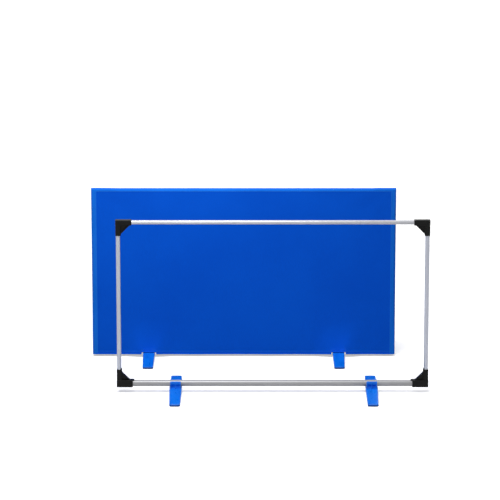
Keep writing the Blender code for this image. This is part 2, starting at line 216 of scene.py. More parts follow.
def quad_corners(rows: int, columns: int, wrap_rows: bool, wrap_columns: bool) -> Array:
    """Corner numbers of a grid's quads: each point, the next across, and the two beyond.

    Args:
        rows: Points one way.
        columns: Points the other way.
        wrap_rows: Whether the last row joins the first.
        wrap_columns: Whether the last column joins the first.

    Returns:
        Quads as rows of four numbers.
    """
    row = np.arange(rows if wrap_rows else rows - 1)[:, None]
    column = np.arange(columns if wrap_columns else columns - 1)[None, :]
    after = (row + 1) % rows * columns
    beside = (column + 1) % columns
    here = row * columns
    corners = [here + column, here + beside, after + beside, after + column]
    return np.stack(np.broadcast_arrays(*corners), axis=-1).reshape(-1, 4)


class Skin:
    """Grids of points gathered into one mesh."""

    def __init__(self) -> None:
        """Start empty."""
        self.points: list[Array] = []
        self.quads: list[Array] = []
        self.marks: list[Array] = []
        self.count = 0

    def grid(self, points: Array, wrap_rows: bool = False, wrap_columns: bool = False,
             marks: Array | None = None) -> Self:
        """Add one grid of points.

        Args:
            points: Rows by columns by 3.
            wrap_rows: Whether the last row joins the first.
            wrap_columns: Whether the last column joins the first.
            marks: Places on the flat cloth for the weave, rows by columns by 2.

        Returns:
            This skin.
        """
        rows, columns, _ = points.shape
        self.quads.append(quad_corners(rows, columns, wrap_rows, wrap_columns) + self.count)
        self.keep(points, marks)
        return self

    def copies(self, points: Array) -> Self:
        """Add many small tubes with one quad pattern.

        Args:
            points: Copies by rings by points round by 3.

        Returns:
            This skin.
        """
        count, rows, columns, _ = points.shape
        corners = quad_corners(rows, columns, False, True)
        shift = (np.arange(count) * rows * columns)[:, None, None] + self.count
        self.quads.append((corners[None] + shift).reshape(-1, 4))
        self.keep(points, None)
        return self

    def keep(self, points: Array, marks: Array | None) -> None:
        """Store a block of points and their places on the flat cloth.

        Args:
            points: The points, any shape by 3.
            marks: Their places, the same shape by 2, or None for zeros.
        """
        flat = points.reshape(-1, 3)
        self.points.append(flat)
        self.marks.append(np.zeros((len(flat), 2)) if marks is None else marks.reshape(-1, 2))
        self.count += len(flat)

    def capped(self, rings: Array) -> Self:
        """Add rings of points whose ends close on the middle of the first and last ring.

        Args:
            rings: Rings by points round by 3.

        Returns:
            This skin.
        """
        first = np.broadcast_to(rings[0].mean(axis=0), rings[0].shape)
        last = np.broadcast_to(rings[-1].mean(axis=0), rings[-1].shape)
        return self.grid(np.concatenate([first[None], rings, last[None]]), wrap_columns=True)

    def sheet(self, outer: Array, inner: Array, marks: Array | None = None) -> Self:
        """Add a thin closed sheet between two matching grids of points.

        Args:
            outer: Points of one face, rows by columns by 3.
            inner: Points of the other face.
            marks: Places on the flat cloth, rows by columns by 2.

        Returns:
            This skin.
        """
        rows, columns, _ = outer.shape
        loop = np.concatenate([outer, inner[:, ::-1]], axis=1)
        if marks is not None:
            marks = np.concatenate([marks, marks[:, ::-1]], axis=1)
        start = self.count
        self.grid(loop, wrap_columns=True, marks=marks)
        along = np.arange(columns - 1)
        far = 2 * columns - 1 - along
        cap = np.stack([along, along + 1, far - 1, far], axis=1) + start
        self.quads.append(cap)
        self.quads.append(cap + (rows - 1) * 2 * columns)
        return self

    def mesh(self, name: str) -> bpy.types.Mesh:
        """The gathered grids as one welded mesh whose faces point outwards.

        Args:
            name: The mesh's name.

        Returns:
            The mesh, shaded smooth.
        """
        quads = np.concatenate(self.quads)
        mesh = bpy.data.meshes.new(name)
        mesh.from_pydata(np.concatenate(self.points).tolist(), [], quads.tolist())
        layer = mesh.uv_layers.new(name="cloth")
        corners = np.empty(len(mesh.loops), np.int32)
        mesh.loops.foreach_get("vertex_index", corners)
        places = np.concatenate(self.marks)[corners].astype(np.float32)
        layer.data.foreach_set("uv", places.ravel())
        weld(mesh)
        return shade(mesh)


def weld(mesh: bpy.types.Mesh) -> None:
    """Merge doubled points and turn all faces outwards.

    Args:
        mesh: The mesh, which is changed.
    """
    shape = bmesh.new()
    shape.from_mesh(mesh)
    bmesh.ops.remove_doubles(shape, verts=shape.verts, dist=WELD)
    bmesh.ops.recalc_face_normals(shape, faces=shape.faces)
    shape.to_mesh(mesh)
    shape.free()


def shade(mesh: bpy.types.Mesh) -> bpy.types.Mesh:
    """Shade a mesh smooth between its sharp edges.

    Args:
        mesh: The mesh, which is changed.

    Returns:
        The same mesh.
    """
    mesh.shade_smooth()
    mesh.set_sharp_from_angle(angle=CREASE)
    return mesh


def soft_edges(outer: Array, inner: Array, bulge: float,
               thin: float = 0.45) -> tuple[Array, Array]:
    """Round a sheet's two long edges with one more column of points at each.

    Args:
        outer: Points of one face, rows by columns by 3.
        inner: Points of the other face.
        bulge: How far the rounding stands past the edge.
        thin: Share of the sheet's thickness that is left there.

    Returns:
        The two grids, each with two more columns.
    """
    middle = (outer + inner) / 2

    def edge(face: Array, at: int, beside: int) -> Array:
        """The new column past a face's column, pointing away from the one beside it."""
        away = unit(middle[:, at] - middle[:, beside])
        return (middle[:, at] + thin * (face[:, at] - middle[:, at]) + bulge * away)[:, None]

    grown = [np.concatenate([edge(face, 0, 1), face, edge(face, -1, -2)], axis=1)
             for face in (outer, inner)]
    return grown[0], grown[1]


def fuse(name: str, solids: list[bpy.types.Mesh]) -> bpy.types.Mesh:
    """The union of closed meshes as one mesh.

    Args:
        name: The new mesh's name.
        solids: The meshes, which overlap each other.

    Returns:
        One closed mesh, shaded smooth.
    """
    items = [add(solid.name, solid) for solid in solids]
    base = items[0]
    for item in items[1:]:
        modifier = base.modifiers.new(item.name, "BOOLEAN")
        modifier.operation = "UNION"
        modifier.object = item
    bpy.context.view_layer.update()
    graph = bpy.context.evaluated_depsgraph_get()
    mesh = bpy.data.meshes.new_from_object(base.evaluated_get(graph))
    mesh.name = name
    for item in items:
        bpy.data.objects.remove(item)
    return shade(mesh)


def moved(mesh: bpy.types.Mesh, shift: Array, flip: Array | None = None) -> bpy.types.Mesh:
    """A copy of a mesh, mirrored and then moved.

    Args:
        mesh: The mesh to copy.
        shift: Where its origin goes.
        flip: 1 or -1 for each axis.

    Returns:
        The copy, with its faces pointing outwards.
    """
    copy = mesh.copy()
    points = np.empty(len(copy.vertices) * 3, np.float32)
    copy.vertices.foreach_get("co", points)
    turn = np.ones(3) if flip is None else flip
    placed = points.reshape(-1, 3) * turn + shift
    copy.vertices.foreach_set("co", placed.astype(np.float32).ravel())
    if np.prod(turn) < 0:
        copy.flip_normals()
    copy.update()
    return copy


def add(name: str, data: bpy.types.ID) -> bpy.types.Object:
    """Put an object with its data in the scene.

    Args:
        name: The object's name.
        data: Its mesh, lamp or camera.

    Returns:
        The object.
    """
    item = bpy.data.objects.new(name, data)
    bpy.context.scene.collection.objects.link(item)
    return item


def show(name: str, mesh: bpy.types.Mesh, material: bpy.types.Material, body: str,
         slot: Slot, nodes: tuple[str, ...] = ()) -> bpy.types.Object:
    """Put a finished piece in the scene, on its body and in place of its CAD nodes.

    Args:
        name: The piece's name.
        mesh: Its mesh, in place.
        material: Its finish.
        body: The CAD body that it rides on.
        slot: The record's material slot; not used.
        nodes: The CAD nodes that it stands for.

    Returns:
        The piece.
    """
    mesh.materials.clear()
    mesh.materials.append(material)
    piece = add(name, mesh)
    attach(piece, body)
    if nodes:
        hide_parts(*nodes)
    log.info("%s: %d faces on %s", name, len(mesh.polygons), body)
    return piece


# Finishes


@dataclass(frozen=True)
class Noise:
    """A noise pattern: its scale, detail, roughness and stretch along each axis."""

    scale: float
    detail: float = 3
    roughness: float = 0.5
    stretch: Place = (1, 1, 1)


@dataclass(frozen=True)
class Span:
    """A range of values and the range that it is carried to."""

    low: float
    high: float
    to_low: float = 0
    to_high: float = 1


class Nodes:
    """A node tree, with short ways to add nodes and to feed their inputs."""

    def __init__(self, tree: bpy.types.NodeTree) -> None:
        """Start with a tree."""
        self.tree = tree

    def feed(self, target: Socket, value: object) -> None:
        """Join an output to an input, or set the input's own value.

        Args:
            target: The input.
            value: An output or a plain value.
        """
        if isinstance(value, Socket):
            self.tree.links.new(value, target)
        else:
            target.default_value = value

    def node(self, kind: str, sockets: dict[str | int, object] | None = None,
             **properties: object) -> bpy.types.Node:
        """Add a node.

        Args:
            kind: The node's type.
            sockets: Outputs or values for its inputs, by name or number.
            properties: Values for its own settings.

        Returns:
            The node.
        """
        made = self.tree.nodes.new(kind)
        for name, value in properties.items():
            setattr(made, name, value)
        for name, value in (sockets or {}).items():
            self.feed(made.inputs[name], value)
        return made

    def spread(self, value: Socket, span: Span) -> Socket:
        """A value carried from one range to another.

        Args:
            value: The output that gives the value.
            span: Both ranges.

        Returns:
            The new output.
        """
        return self.node("ShaderNodeMapRange", {
            "Value": value, "From Min": span.low, "From Max": span.high,
            "To Min": span.to_low, "To Max": span.to_high}).outputs["Result"]

    def blend(self, share: Socket, first: object, second: object) -> Socket:
        """A colour between two, by a share."""
        return self.node("ShaderNodeMix", {0: share, 6: first, 7: second},
                         data_type="RGBA").outputs[2]

    def combine(self, first: Socket, second: Socket, operation: str = "ADD") -> Socket:
        """Two values added, or combined by another operation."""
        return self.node("ShaderNodeMath", {0: first, 1: second}, operation=operation).outputs[0]

    def in_view(self) -> Socket:
        """1 for rays of the camera, of reflections and through clear things, else 0.

        Returns:
            The output.
        """
        rays = self.node("ShaderNodeLightPath").outputs
        seen = self.combine(rays["Is Camera Ray"], rays["Is Glossy Ray"], "MAXIMUM")
        return self.combine(seen, rays["Is Transmission Ray"], "MAXIMUM")


class Bench(Nodes):
    """A material's nodes round its Principled shader."""

    def __init__(self, name: str) -> None:
        """Start a material.

        Args:
            name: The material's name.
        """
        self.material = bpy.data.materials.new(name)
        self.material.use_nodes = True
        super().__init__(self.material.node_tree)
        self.shader = self.tree.nodes["Principled BSDF"]

    def fill(self, **sockets: object) -> None:
        """Feed the shader's inputs; an underscore stands for a space in the name."""
        for name, value in sockets.items():
            self.feed(self.shader.inputs[name.replace("_", " ")], value)

    def place(self, stretch: Place = (1, 1, 1)) -> Socket:
        """Object coordinates, stretched along each axis.

        Args:
            stretch: The scale along X, Y and Z.

        Returns:
            The output.
        """
        coordinates = self.node("ShaderNodeTexCoord").outputs["Object"]
        return self.node("ShaderNodeMapping",
                         {"Vector": coordinates, "Scale": stretch}).outputs["Vector"]

    def noise(self, pattern: Noise) -> Socket:
        """A noise pattern's value on Object coordinates.

        Args:
            pattern: The pattern.

        Returns:
            The output, from 0 to 1.
        """
        return self.node("ShaderNodeTexNoise", {
            "Vector": self.place(pattern.stretch), "Scale": pattern.scale,
            "Detail": pattern.detail, "Roughness": pattern.roughness}).outputs["Fac"]

    def bump(self, height: Socket, depth: float, under: Socket | None = None) -> Socket:
        """A bump of a real depth, over another one if there is one.

        Args:
            height: The output that gives the height, from 0 to 1.
            depth: The depth in metres.
            under: The other bump.

        Returns:
            The output for the shader's normal.
        """
        made = self.node("ShaderNodeBump", {"Height": height, "Distance": depth})
        if under is not None:
            self.feed(made.inputs["Normal"], under)
        return made.outputs["Normal"]


@dataclass(frozen=True)
class SteelFinish:
    """Satin plated steel, drawn lengthwise, with faint rub marks."""

    run: Run
    name: str
    bright: Colour
    dull: Colour
    edge: Colour = (150, 150, 154)
    metal: float = 0.6
    smooth: float = 0.26
    rough: float = 0.40
    wear_low: float = 0.1
    wear_high: float = 0.5
    draw: Noise = Noise(900.0, 4, 0.6)
    draw_stretch: float = 0.004
    draw_depth: float = 0.000012
    smudge: Noise = Noise(9.0, 4, 0.55)

    def material(self) -> bpy.types.Material:
        """The finish as a material.

        Returns:
            A new material.
        """
        bench = Bench(self.name)
        stretch = [1.0, 1.0, 1.0]
        stretch[self.run.value] = self.draw_stretch
        drawn = bench.noise(replace(self.draw, stretch=tuple(stretch)))
        smudge = bench.noise(self.smudge)
        worn = Span(self.wear_low, self.wear_high, self.smooth, self.rough)
        bench.fill(Base_Color=bench.blend(smudge, srgb(*self.dull), srgb(*self.bright)),
                   Roughness=bench.spread(bench.combine(drawn, smudge, "MULTIPLY"), worn),
                   Normal=bench.bump(drawn, self.draw_depth),
                   Metallic=self.metal, Specular_Tint=srgb(*self.edge))
        return bench.material


@dataclass(frozen=True)
class BlackFinish:
    """Black moulded plastic with a fine spark-eroded grain and dusty rubbed patches."""

    deep: Colour = (4, 4, 4)
    rubbed: Colour = (17, 17, 17)
    grain: Noise = Noise(1500.0, 2)
    grain_depth: float = 0.00006
    patch: Noise = Noise(26.0, 5, 0.6)
    patch_tone: Span = Span(0.42, 0.75)
    patch_rough: Span = Span(0.3, 0.7, 0.36, 0.52)
    ior: float = 1.49
    shine: float = 0.14

    def material(self) -> bpy.types.Material:
        """The finish as a material.

        Returns:
            A new material.
        """
        bench = Bench("black plastic")
        patch = bench.noise(self.patch)
        bench.fill(Base_Color=bench.blend(bench.spread(patch, self.patch_tone),
                                          srgb(*self.deep), srgb(*self.rubbed)),
                   Roughness=bench.spread(patch, self.patch_rough),
                   Normal=bench.bump(bench.noise(self.grain), self.grain_depth),
                   IOR=self.ior, Specular_IOR_Level=self.shine)
        return bench.material


@dataclass(frozen=True)
class BlueFinish:
    """Bright blue moulded plastic, semi-gloss, with faint flow lines and fine scuffs.

    Its sides carry painted shade close to the floor: their colour is darker towards the bottom.
    """

    deep: Colour = (2, 105, 219)
    bright: Colour = (8, 118, 234)
    # Painted shade: below about 11 mm the colour blends towards this low colour, standing in for
    # the floor's shade.
    low: Colour = (1, 40, 112)
    floor_shade_share: Span = Span(0.001, 0.011)
    flow: Noise = Noise(14.0, 4, 0.5, (3, 0.7, 3))
    flow_tone: Span = Span(0.35, 0.65)
    scuff: Noise = Noise(180.0, 5, 0.65, (1, 0.15, 1))
    scuff_rough: Span = Span(0.35, 0.75, 0.26, 0.46)
    grain: Noise = Noise(900.0, 2)
    grain_depth: float = 0.00004
    ior: float = 1.5
    shine: float = 0.25

    def material(self) -> bpy.types.Material:
        """The finish as a material.

        Returns:
            A new material.
        """
        bench = Bench("blue plastic")
        flow = bench.spread(bench.noise(self.flow), self.flow_tone)
        plain = bench.blend(flow, srgb(*self.deep), srgb(*self.bright))
        # Painted shade: the height over the floor blends the plain colour towards the low shade
        # colour.
        height = bench.node("ShaderNodeSeparateXYZ", {0: bench.place()}).outputs["Z"]
        raised = bench.spread(height, self.floor_shade_share)
        bench.fill(Base_Color=bench.blend(raised, srgb(*self.low), plain),
                   Roughness=bench.spread(bench.noise(self.scuff), self.scuff_rough),
                   Normal=bench.bump(bench.noise(self.grain), self.grain_depth),
                   IOR=self.ior, Specular_IOR_Level=self.shine)
        return bench.material


@dataclass(frozen=True)
class ClothFinish:
    """Blue woven cloth; the weave follows the flat cloth, whose places are in metres.

    A wave pattern of scale 1 repeats every pi / 10, so one yarn takes a scale of
    pi / 10 / yarn.
    """

    name: str = "woven cover cloth"
    deep: Colour = (2, 88, 222)
    bright: Colour = (4, 95, 231)
    yarn: float = 0.0009
    yarn_depth: float = 0.00012
    slub: Noise = Noise(420.0, stretch=(1, 1, 0.2))
    slub_tone: Span = Span(0.3, 0.7, -0.16, 0.16)
    slub_rough: Span = Span(0.3, 0.7, 0.62, 0.8)
    fade: Noise = Noise(2.5, 3, 0.55)
    tone: Span = Span(0.3, 0.7)
    crumple: Noise = Noise(30.0, 4)
    crumple_depth: float = 0.0006
    sheen: float = 0.06
    sheen_rough: float = 0.4
    sheen_tint: Colour = (90, 150, 255)
    shine: float = 0.06

    def material(self) -> bpy.types.Material:
        """The finish as a material.

        Returns:
            A new material.
        """
        bench = Bench(self.name)
        flat = bench.node("ShaderNodeUVMap", uv_map="cloth").outputs["UV"]
        scale = math.pi / 10 / self.yarn
        yarns = [bench.node("ShaderNodeTexWave", {"Vector": flat, "Scale": scale},
                            bands_direction=way).outputs["Fac"] for way in ("X", "Y")]
        weave = bench.combine(*yarns, "MULTIPLY")
        slub = bench.noise(self.slub)
        tone = bench.combine(bench.noise(self.fade), bench.spread(slub, self.slub_tone))
        creased = bench.bump(bench.noise(self.crumple), self.crumple_depth)
        bench.fill(Base_Color=bench.blend(bench.spread(tone, self.tone), srgb(*self.deep),
                                          srgb(*self.bright)),
                   Roughness=bench.spread(slub, self.slub_rough),
                   Normal=bench.bump(weave, self.yarn_depth, under=creased),
                   Sheen_Weight=self.sheen, Sheen_Roughness=self.sheen_rough,
                   Sheen_Tint=srgb(*self.sheen_tint), Specular_IOR_Level=self.shine)
        return bench.material


@dataclass(frozen=True)
class ThreadFinish:
    """Twisted sewing thread, a shade lighter than the cloth."""

    deep: Colour = (12, 84, 200)
    bright: Colour = (40, 118, 232)
    twist: Noise = Noise(2600.0, 2)
    rough: float = 0.6
    sheen: float = 0.2

    def material(self) -> bpy.types.Material:
        """The finish as a material.

        Returns:
            A new material.
        """
        bench = Bench("sewing thread")
        bench.fill(Base_Color=bench.blend(bench.noise(self.twist), srgb(*self.deep),
                                          srgb(*self.bright)),
                   Roughness=self.rough, Sheen_Weight=self.sheen)
        return bench.material


# Frame


@dataclass(frozen=True)
class Tube:
    """A round steel tube with slightly rounded ends."""

    diameter: float
    wall: float
    run: Run
    lip: float = 0.0004
    sides: int = 80

    def mesh(self, node: str) -> bpy.types.Mesh:
        """The tube in a CAD tube's place.

        A rounded rectangle, as thick as the wall and as long as the tube, is turned about
        the tube's axis.

        Args:
            node: The CAD tube.

        Returns:
            The mesh.
        """
        low, high = (np.array(corner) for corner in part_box(node))
        middle = (low + high) / 2
        half_length = (high - low)[self.run.value] / 2
        loop = rounded_rectangle(np.array(self.wall / 2), np.array(half_length), self.lip)
        radius = loop[:, 0] + (self.diameter - self.wall) / 2
        turn = np.arange(self.sides)[:, None] * 2 * np.pi / self.sides
        points = np.empty((self.sides, len(loop), 3))
        across = [axis for axis in range(3) if axis != self.run.value]
        points[..., self.run.value] = loop[:, 1]
        points[..., across[0]] = radius * np.cos(turn)
        points[..., across[1]] = radius * np.sin(turn)
        skin = Skin().grid(points + middle, wrap_rows=True, wrap_columns=True)
        return skin.mesh(f"{node} tube")


@dataclass(frozen=True)
class Connector:
    """A moulded corner: two socket arms, a web between them and a rim along its edge.

    It is made for the left end with the outer corner at the origin: X runs inwards along
    the rail, Z along the upright, and a top corner is turned over afterwards. The slim arm
    is the upright's. It is drawn in by a small step, clear of the rail arm's faces.
    """

    rail_arm: float
    rail_bore: float
    upright_reach: float
    slope_stop: float
    rail_tongue: float
    upright_tongue: float
    slim_arm: float = 0.0236
    slim_bore: float = 0.0190
    rail_reach: float = 0.0720
    socket_depth: float = 0.0450
    ease: float = 0.0001
    step: float = 0.0004
    corner: float = 0.0030
    end_round: float = 0.0028
    lip: float = 0.0009
    web: float = 0.0070
    rim: float = 0.0034
    rim_tip: float = 0.0026
    rim_taper: float = 0.020
    rim_width: float = 0.0200
    tip_width: float = 0.0144
    tip_round: float = 0.004
    tip_radii: float = 2.2
    root: float = 0.0040
    bend: float = 0.0070
    tongue_lift: float = 0.0012
    slope_lift: float = 0.0004
    around: int = 144
    end_points: int = 6
    bend_points: int = 9
    tongue_points: int = 6
    web_rows: int = 6
    web_start: float = 0.05

    def arm(self, name: str, half: float, bore: float, low: float, high: float, run: Run,
            centre: tuple[float, float]) -> bpy.types.Mesh:
        """A closed arm with a round socket.

        Rings go from the closed end over its rounding, along the arm, over the mouth's lip
        and down the bore: square rings outside and circles inside, at the same angles.

        Args:
            name: The mesh's name.
            half: Half the arm's width.
            bore: The socket's diameter.
            low: Where the arm starts along its run.
            high: Where its mouth is.
            run: The arm's direction.
            centre: The arm's axis, across the run and in depth.

        Returns:
            The mesh.
        """
        turn = np.arange(self.around) * 2 * np.pi / self.around
        square = rounded_square(turn, half, self.corner)
        bend = quarter(self.end_points)
        drawn = self.end_round * (1 - np.sin(bend))
        tucked = self.lip * (1 - np.cos(bend))
        radius = bore / 2 + self.ease
        sizes = [square * (1 - shrink / half) for shrink in (*drawn, *tucked)]
        places = [*(low + self.end_round * (1 - np.cos(bend))),
                  *(high - self.lip * (1 - np.sin(bend)))]
        for grow, back in ((self.lip / 2, 0), (0, self.lip / 2), (0, self.socket_depth)):
            sizes.append(np.full(self.around, radius + grow))
            places.append(high - back)
        size = np.array(sizes)
        points = np.empty((len(places), self.around, 3))
        points[..., run.value] = np.array(places)[:, None]
        points[..., 2 - run.value] = centre[0] + size * np.cos(turn)
        points[..., 1] = centre[1] + size * np.sin(turn)
        return Skin().capped(points).mesh(name)

    def edge_curve(self) -> Array:
        """The outer edge of the gusset: a tongue on the upright, a slope and one on the rail.

        Each bend between them is a curve a(1 - s)^2 + 2 b s(1 - s) + c s^2 round its corner b.

        Returns:
            X and Z of each point.
        """
        wide = self.rail_reach - self.slope_stop
        high = self.upright_reach - self.slope_stop
        lift = self.tongue_lift
        ends = np.array([[self.slim_arm + lift, self.upright_reach + self.upright_tongue],
                         [self.slim_arm + self.slope_lift, high],
                         [wide, self.rail_arm + self.slope_lift],
                         [self.rail_reach + self.rail_tongue, self.rail_arm + lift]])
        way = unit(np.diff(ends, axis=0))
        s = np.linspace(0, 1, self.bend_points)[:, None]
        bends = []
        for corner in (1, 2):
            before = ends[corner] - way[corner - 1] * self.bend
            after = ends[corner] + way[corner] * self.bend
            bends.append(before * (1 - s)**2 + 2 * ends[corner] * s * (1 - s) + after * s**2)
        runs = [np.linspace(start, end, self.tongue_points + 1)[cut] for start, end, cut in
                ((ends[0], bends[0][0], slice(0, -1)), (bends[0][-1], bends[1][0], slice(1, -1)),
                 (bends[1][-1], ends[3], slice(1, None)))]
        return np.concatenate([runs[0], bends[0], runs[1], bends[1], runs[2]])

    def rim_mesh(self) -> bpy.types.Mesh:
        """The rim: a rounded strip carried along the gusset's edge, thinner at its tips.

        Its width narrows to the tips as the square root of the distance from them.

        Returns:
            The mesh.
        """
        edge = self.edge_curve()
        slope = unit(np.gradient(edge, axis=0))
        inward = np.stack([slope[:, 1], -slope[:, 0]], axis=1)
        inward *= np.sign(-inward.sum(axis=1, keepdims=True))
        along = distance_along(edge)
        to_tip = np.minimum(along, along[-1] - along)
        thick = self.rim_tip + (self.rim - self.rim_tip) * eased(to_tip / self.rim_taper)
        near = np.sqrt(np.clip(to_tip / self.tip_round, 0, 1))
        width = self.tip_width + (self.rim_width - self.tip_width) * near
        outline = rounded_rectangle(thick / 2, width / 2, self.rim_tip / self.tip_radii)
        depth = outline[..., 0] + thick[:, None] / 2
        points = np.empty((*outline.shape[:2], 3))
        points[..., ::2] = edge[:, None] + inward[:, None] * depth[..., None]
        points[..., 1] = outline[..., 1]
        return Skin().capped(points).mesh("rim")

    def web_mesh(self) -> bpy.types.Mesh:
        """The web: a plate that fills the corner as far as the middle of the rim.

        Its rows fan out from the upright's root to the rail's root, between the inner corner
        and the gusset's slope.

        Returns:
            The mesh.
        """
        skipped = self.tongue_points + self.bend_points // 2
        edge = self.edge_curve()[skipped:-skipped] - self.rim / 2
        share = np.linspace(self.web_start, 1, self.web_rows)[:, None, None]
        corner = np.array([self.slim_arm, self.rail_arm]) - self.root
        flat = corner + share * (edge - corner)
        faces = [np.insert(flat, 1, depth, axis=-1) for depth in (-self.web / 2, self.web / 2)]
        return Skin().sheet(*faces).mesh("web")

    def mesh(self, name: str) -> bpy.types.Mesh:
        """The whole connector as one closed mesh.

        Args:
            name: The mesh's name.

        Returns:
            The mesh.
        """
        half_rail = self.rail_arm / 2
        half_slim = self.slim_arm / 2
        rail_arm = self.arm("rail arm", half_rail, self.rail_bore, 0, self.rail_reach,
                            Run.ALONG_X, (half_rail, 0))
        upright_arm = self.arm("upright arm", half_slim - self.step, self.slim_bore, half_rail,
                               self.upright_reach, Run.ALONG_Z, (half_slim + self.step / 2, 0))
        return fuse(name, [rail_arm, upright_arm, self.web_mesh(), self.rim_mesh()])


@dataclass(frozen=True)
class Foot:
    """A foot: the bar on the floor and the ribbed clip round the rail, as one moulding.

    It is made with the rail's axis over the origin and the floor at z = 0. Angles round the
    rail start straight down, and jaw steps are degrees from a jaw's tip. Rib rows are shares
    of the way to a rib's outer edge, and rib widths are shares of its thickness there.
    """

    length: float = 0.440
    end_width: float = 0.048
    mid_width: float = 0.056
    end_height: float = 0.0105
    mid_height: float = 0.022
    pad_length: float = 0.050
    arch: float = 0.008
    plan_corner: float = 0.009
    top_edge: float = 0.0034
    low_edge: float = 0.0008
    crown: float = 0.0003
    rail_axis: float = 0.042
    bore: float = 0.0143
    wall: float = 0.0042
    clip_width: float = 0.048
    front_jaw: float = math.radians(130)
    rear_jaw: float = math.radians(135)
    jaw_corner: float = 0.004
    jaw_flat: float = 0.0004
    jaw_thin: float = 0.55
    jaw_taper: float = 0.0012
    jaw_steps: tuple[float, ...] = (0, 0.5, 1.5, 3, 5, 7.5, 10.5)
    saddle_turn: float = math.radians(62)
    saddle_sunk: float = 0.6
    saddle_base: float = 0.62
    rib: float = 0.004
    rib_reach: float = 0.030
    rib_below_tip: float = math.radians(8)
    rib_shoulder: float = math.radians(100)
    rib_root: float = math.radians(25)
    rib_proud: float = 0.002
    rib_start: float = 0.35
    rib_hollow: float = 0.0012
    rib_rows: tuple[float, ...] = (0, 0.3, 0.6, 0.86, 0.95, 1)
    rib_widths: tuple[float, ...] = (1, 1, 1, 1, 0.95, 0.72)
    edge: float = 0.0007
    edge_points: int = 6
    bar_points: int = 27
    plan_points: int = 9
    top_points: int = 7
    clip_points: int = 45
    saddle_points: int = 25
    saddle_rows: int = 5
    shoulder_points: int = 7
    slope_points: int = 8

    def stations(self) -> Array:
        """Places along the bar, closer together where its ends are rounded.

        Returns:
            Y of each place, from the front end to the rear end.
        """
        half = self.length / 2
        start = half - self.plan_corner
        turned = start + self.plan_corner * np.sin(quarter(self.plan_points))
        plain = np.linspace(0, start, self.bar_points)[:-1]
        side = np.concatenate([plain, turned])
        return np.concatenate([-side[:0:-1], side])

    def bar(self) -> bpy.types.Mesh:
        """The bar: a section with rounded edges carried along Y.

        The top falls from the clip to the ends, the underside is an arch between two flat
        pads, and the width shrinks by R - sqrt(R^2 - past^2) at the round plan corners.

        Returns:
            The mesh.
        """
        y = self.stations()
        half = self.length / 2
        away = np.abs(y)
        share = away / half
        wide = (self.mid_width + (self.end_width - self.mid_width) * share) / 2
        fall = np.clip((away - self.rib_reach) / (half - self.rib_reach), 0, 1)
        top = self.mid_height + (self.end_height - self.mid_height) * fall
        base = self.arch * (1 - np.minimum(1, away / (half - self.pad_length)) ** 2)
        past = np.clip(away - (half - self.plan_corner), 0, self.plan_corner)
        drawn = self.plan_corner - np.sqrt(self.plan_corner**2 - past**2)
        wide = wide - drawn
        top = top - drawn * self.top_edge / self.plan_corner
        bend = quarter(self.edge_points)
        across = np.linspace(-1, 1, self.top_points + 2)[1:-1]

        def rounded(corner: float, level: Array, sign: int, way: Array) -> tuple[Array, Array]:
            """A long edge's rounding: a quarter circle at each place along the bar.

            Args:
                corner: The circle's radius.
                level: Height of the face beside it.
                sign: 1 for the top and -1 for the underside.
                way: Angles of the quarter circle.

            Returns:
                X and Z, places along the bar by points of the circle.
            """
            x = wide[:, None] - corner + corner * np.sin(way)
            z = level[:, None] - sign * corner * (1 - np.cos(way))
            return x, z

        x_low, z_low = rounded(self.low_edge, base, -1, bend)
        x_top, z_top = rounded(self.top_edge, top, 1, bend[::-1])
        crowned = top[:, None] + self.crown * (1 - across[::-1] ** 2)
        x_flat = (wide[:, None] - self.top_edge) * across[::-1]
        x_base = (wide[:, None] - self.low_edge) * across
        z_base = np.broadcast_to(base[:, None], x_base.shape)
        x = np.concatenate([x_low, x_top, x_flat, -x_top[:, ::-1], -x_low[:, ::-1], x_base],
                           axis=1)
        z = np.concatenate([z_low, z_top, crowned, z_top[:, ::-1], z_low[:, ::-1], z_base],
                           axis=1)
        rings = np.stack([x, np.broadcast_to(y[:, None], x.shape), z], axis=-1)
        return Skin().capped(rings).mesh("bar")

    def on_ring(self, angle: Array, radius: float) -> tuple[Array, Array]:
        """Y and Z of a point round the rail; the angle goes from straight down to +Y."""
        return radius * np.sin(angle), self.rail_axis - radius * np.cos(angle)

    def clip(self) -> bpy.types.Mesh:
        """The clip's wall: a rounded strip carried round the rail from jaw to jaw.

        Its corners at both jaws are rounded by R - sqrt(R^2 - past^2).

        Returns:
            The mesh.
        """
        near = np.radians(self.jaw_steps)
        plain = np.linspace(near[-1] - self.front_jaw, self.rear_jaw - near[-1],
                            self.clip_points)
        angle = np.concatenate([near[:-1] - self.front_jaw, plain,
                                (self.rear_jaw - near[:-1])[::-1]])
        to_tip = np.minimum(angle + self.front_jaw, self.rear_jaw - angle) * self.bore
        past = self.jaw_corner - np.clip(to_tip, self.jaw_flat, self.jaw_corner)
        drawn = self.jaw_corner - np.sqrt(self.jaw_corner**2 - past**2)
        full = self.jaw_thin + (1 - self.jaw_thin) * eased(to_tip / self.jaw_taper)
        outline = rounded_rectangle(self.wall * full / 2, self.clip_width / 2 - drawn, self.edge)
        radius = self.bore + self.wall / 2 + outline[..., 0]
        y, z = self.on_ring(angle[:, None], radius)
        return Skin().capped(np.stack([outline[..., 1], y, z], axis=-1)).mesh("clip")

    def sunk(self) -> float:
        """How high a form's base stands inside the bar, clear of the bar's rounded edges."""
        return self.mid_height - self.top_edge

    def saddle(self) -> bpy.types.Mesh:
        """The block that carries the clip on the bar, hollowed to follow the clip's wall.

        Returns:
            The mesh.
        """
        spread = np.linspace(-1, 1, self.saddle_points)
        top = self.on_ring(spread * self.saddle_turn, self.bore + self.wall * self.saddle_sunk)
        low = (spread * (self.rib_reach * self.saddle_base), self.sunk())
        half = self.clip_width / 2 - 2 * self.edge
        x = np.linspace(-half, half, self.saddle_rows)[:, None]
        faces = [np.stack(np.broadcast_arrays(x, *line), axis=-1) for line in (top, low)]
        return Skin().sheet(*faces).mesh("saddle")

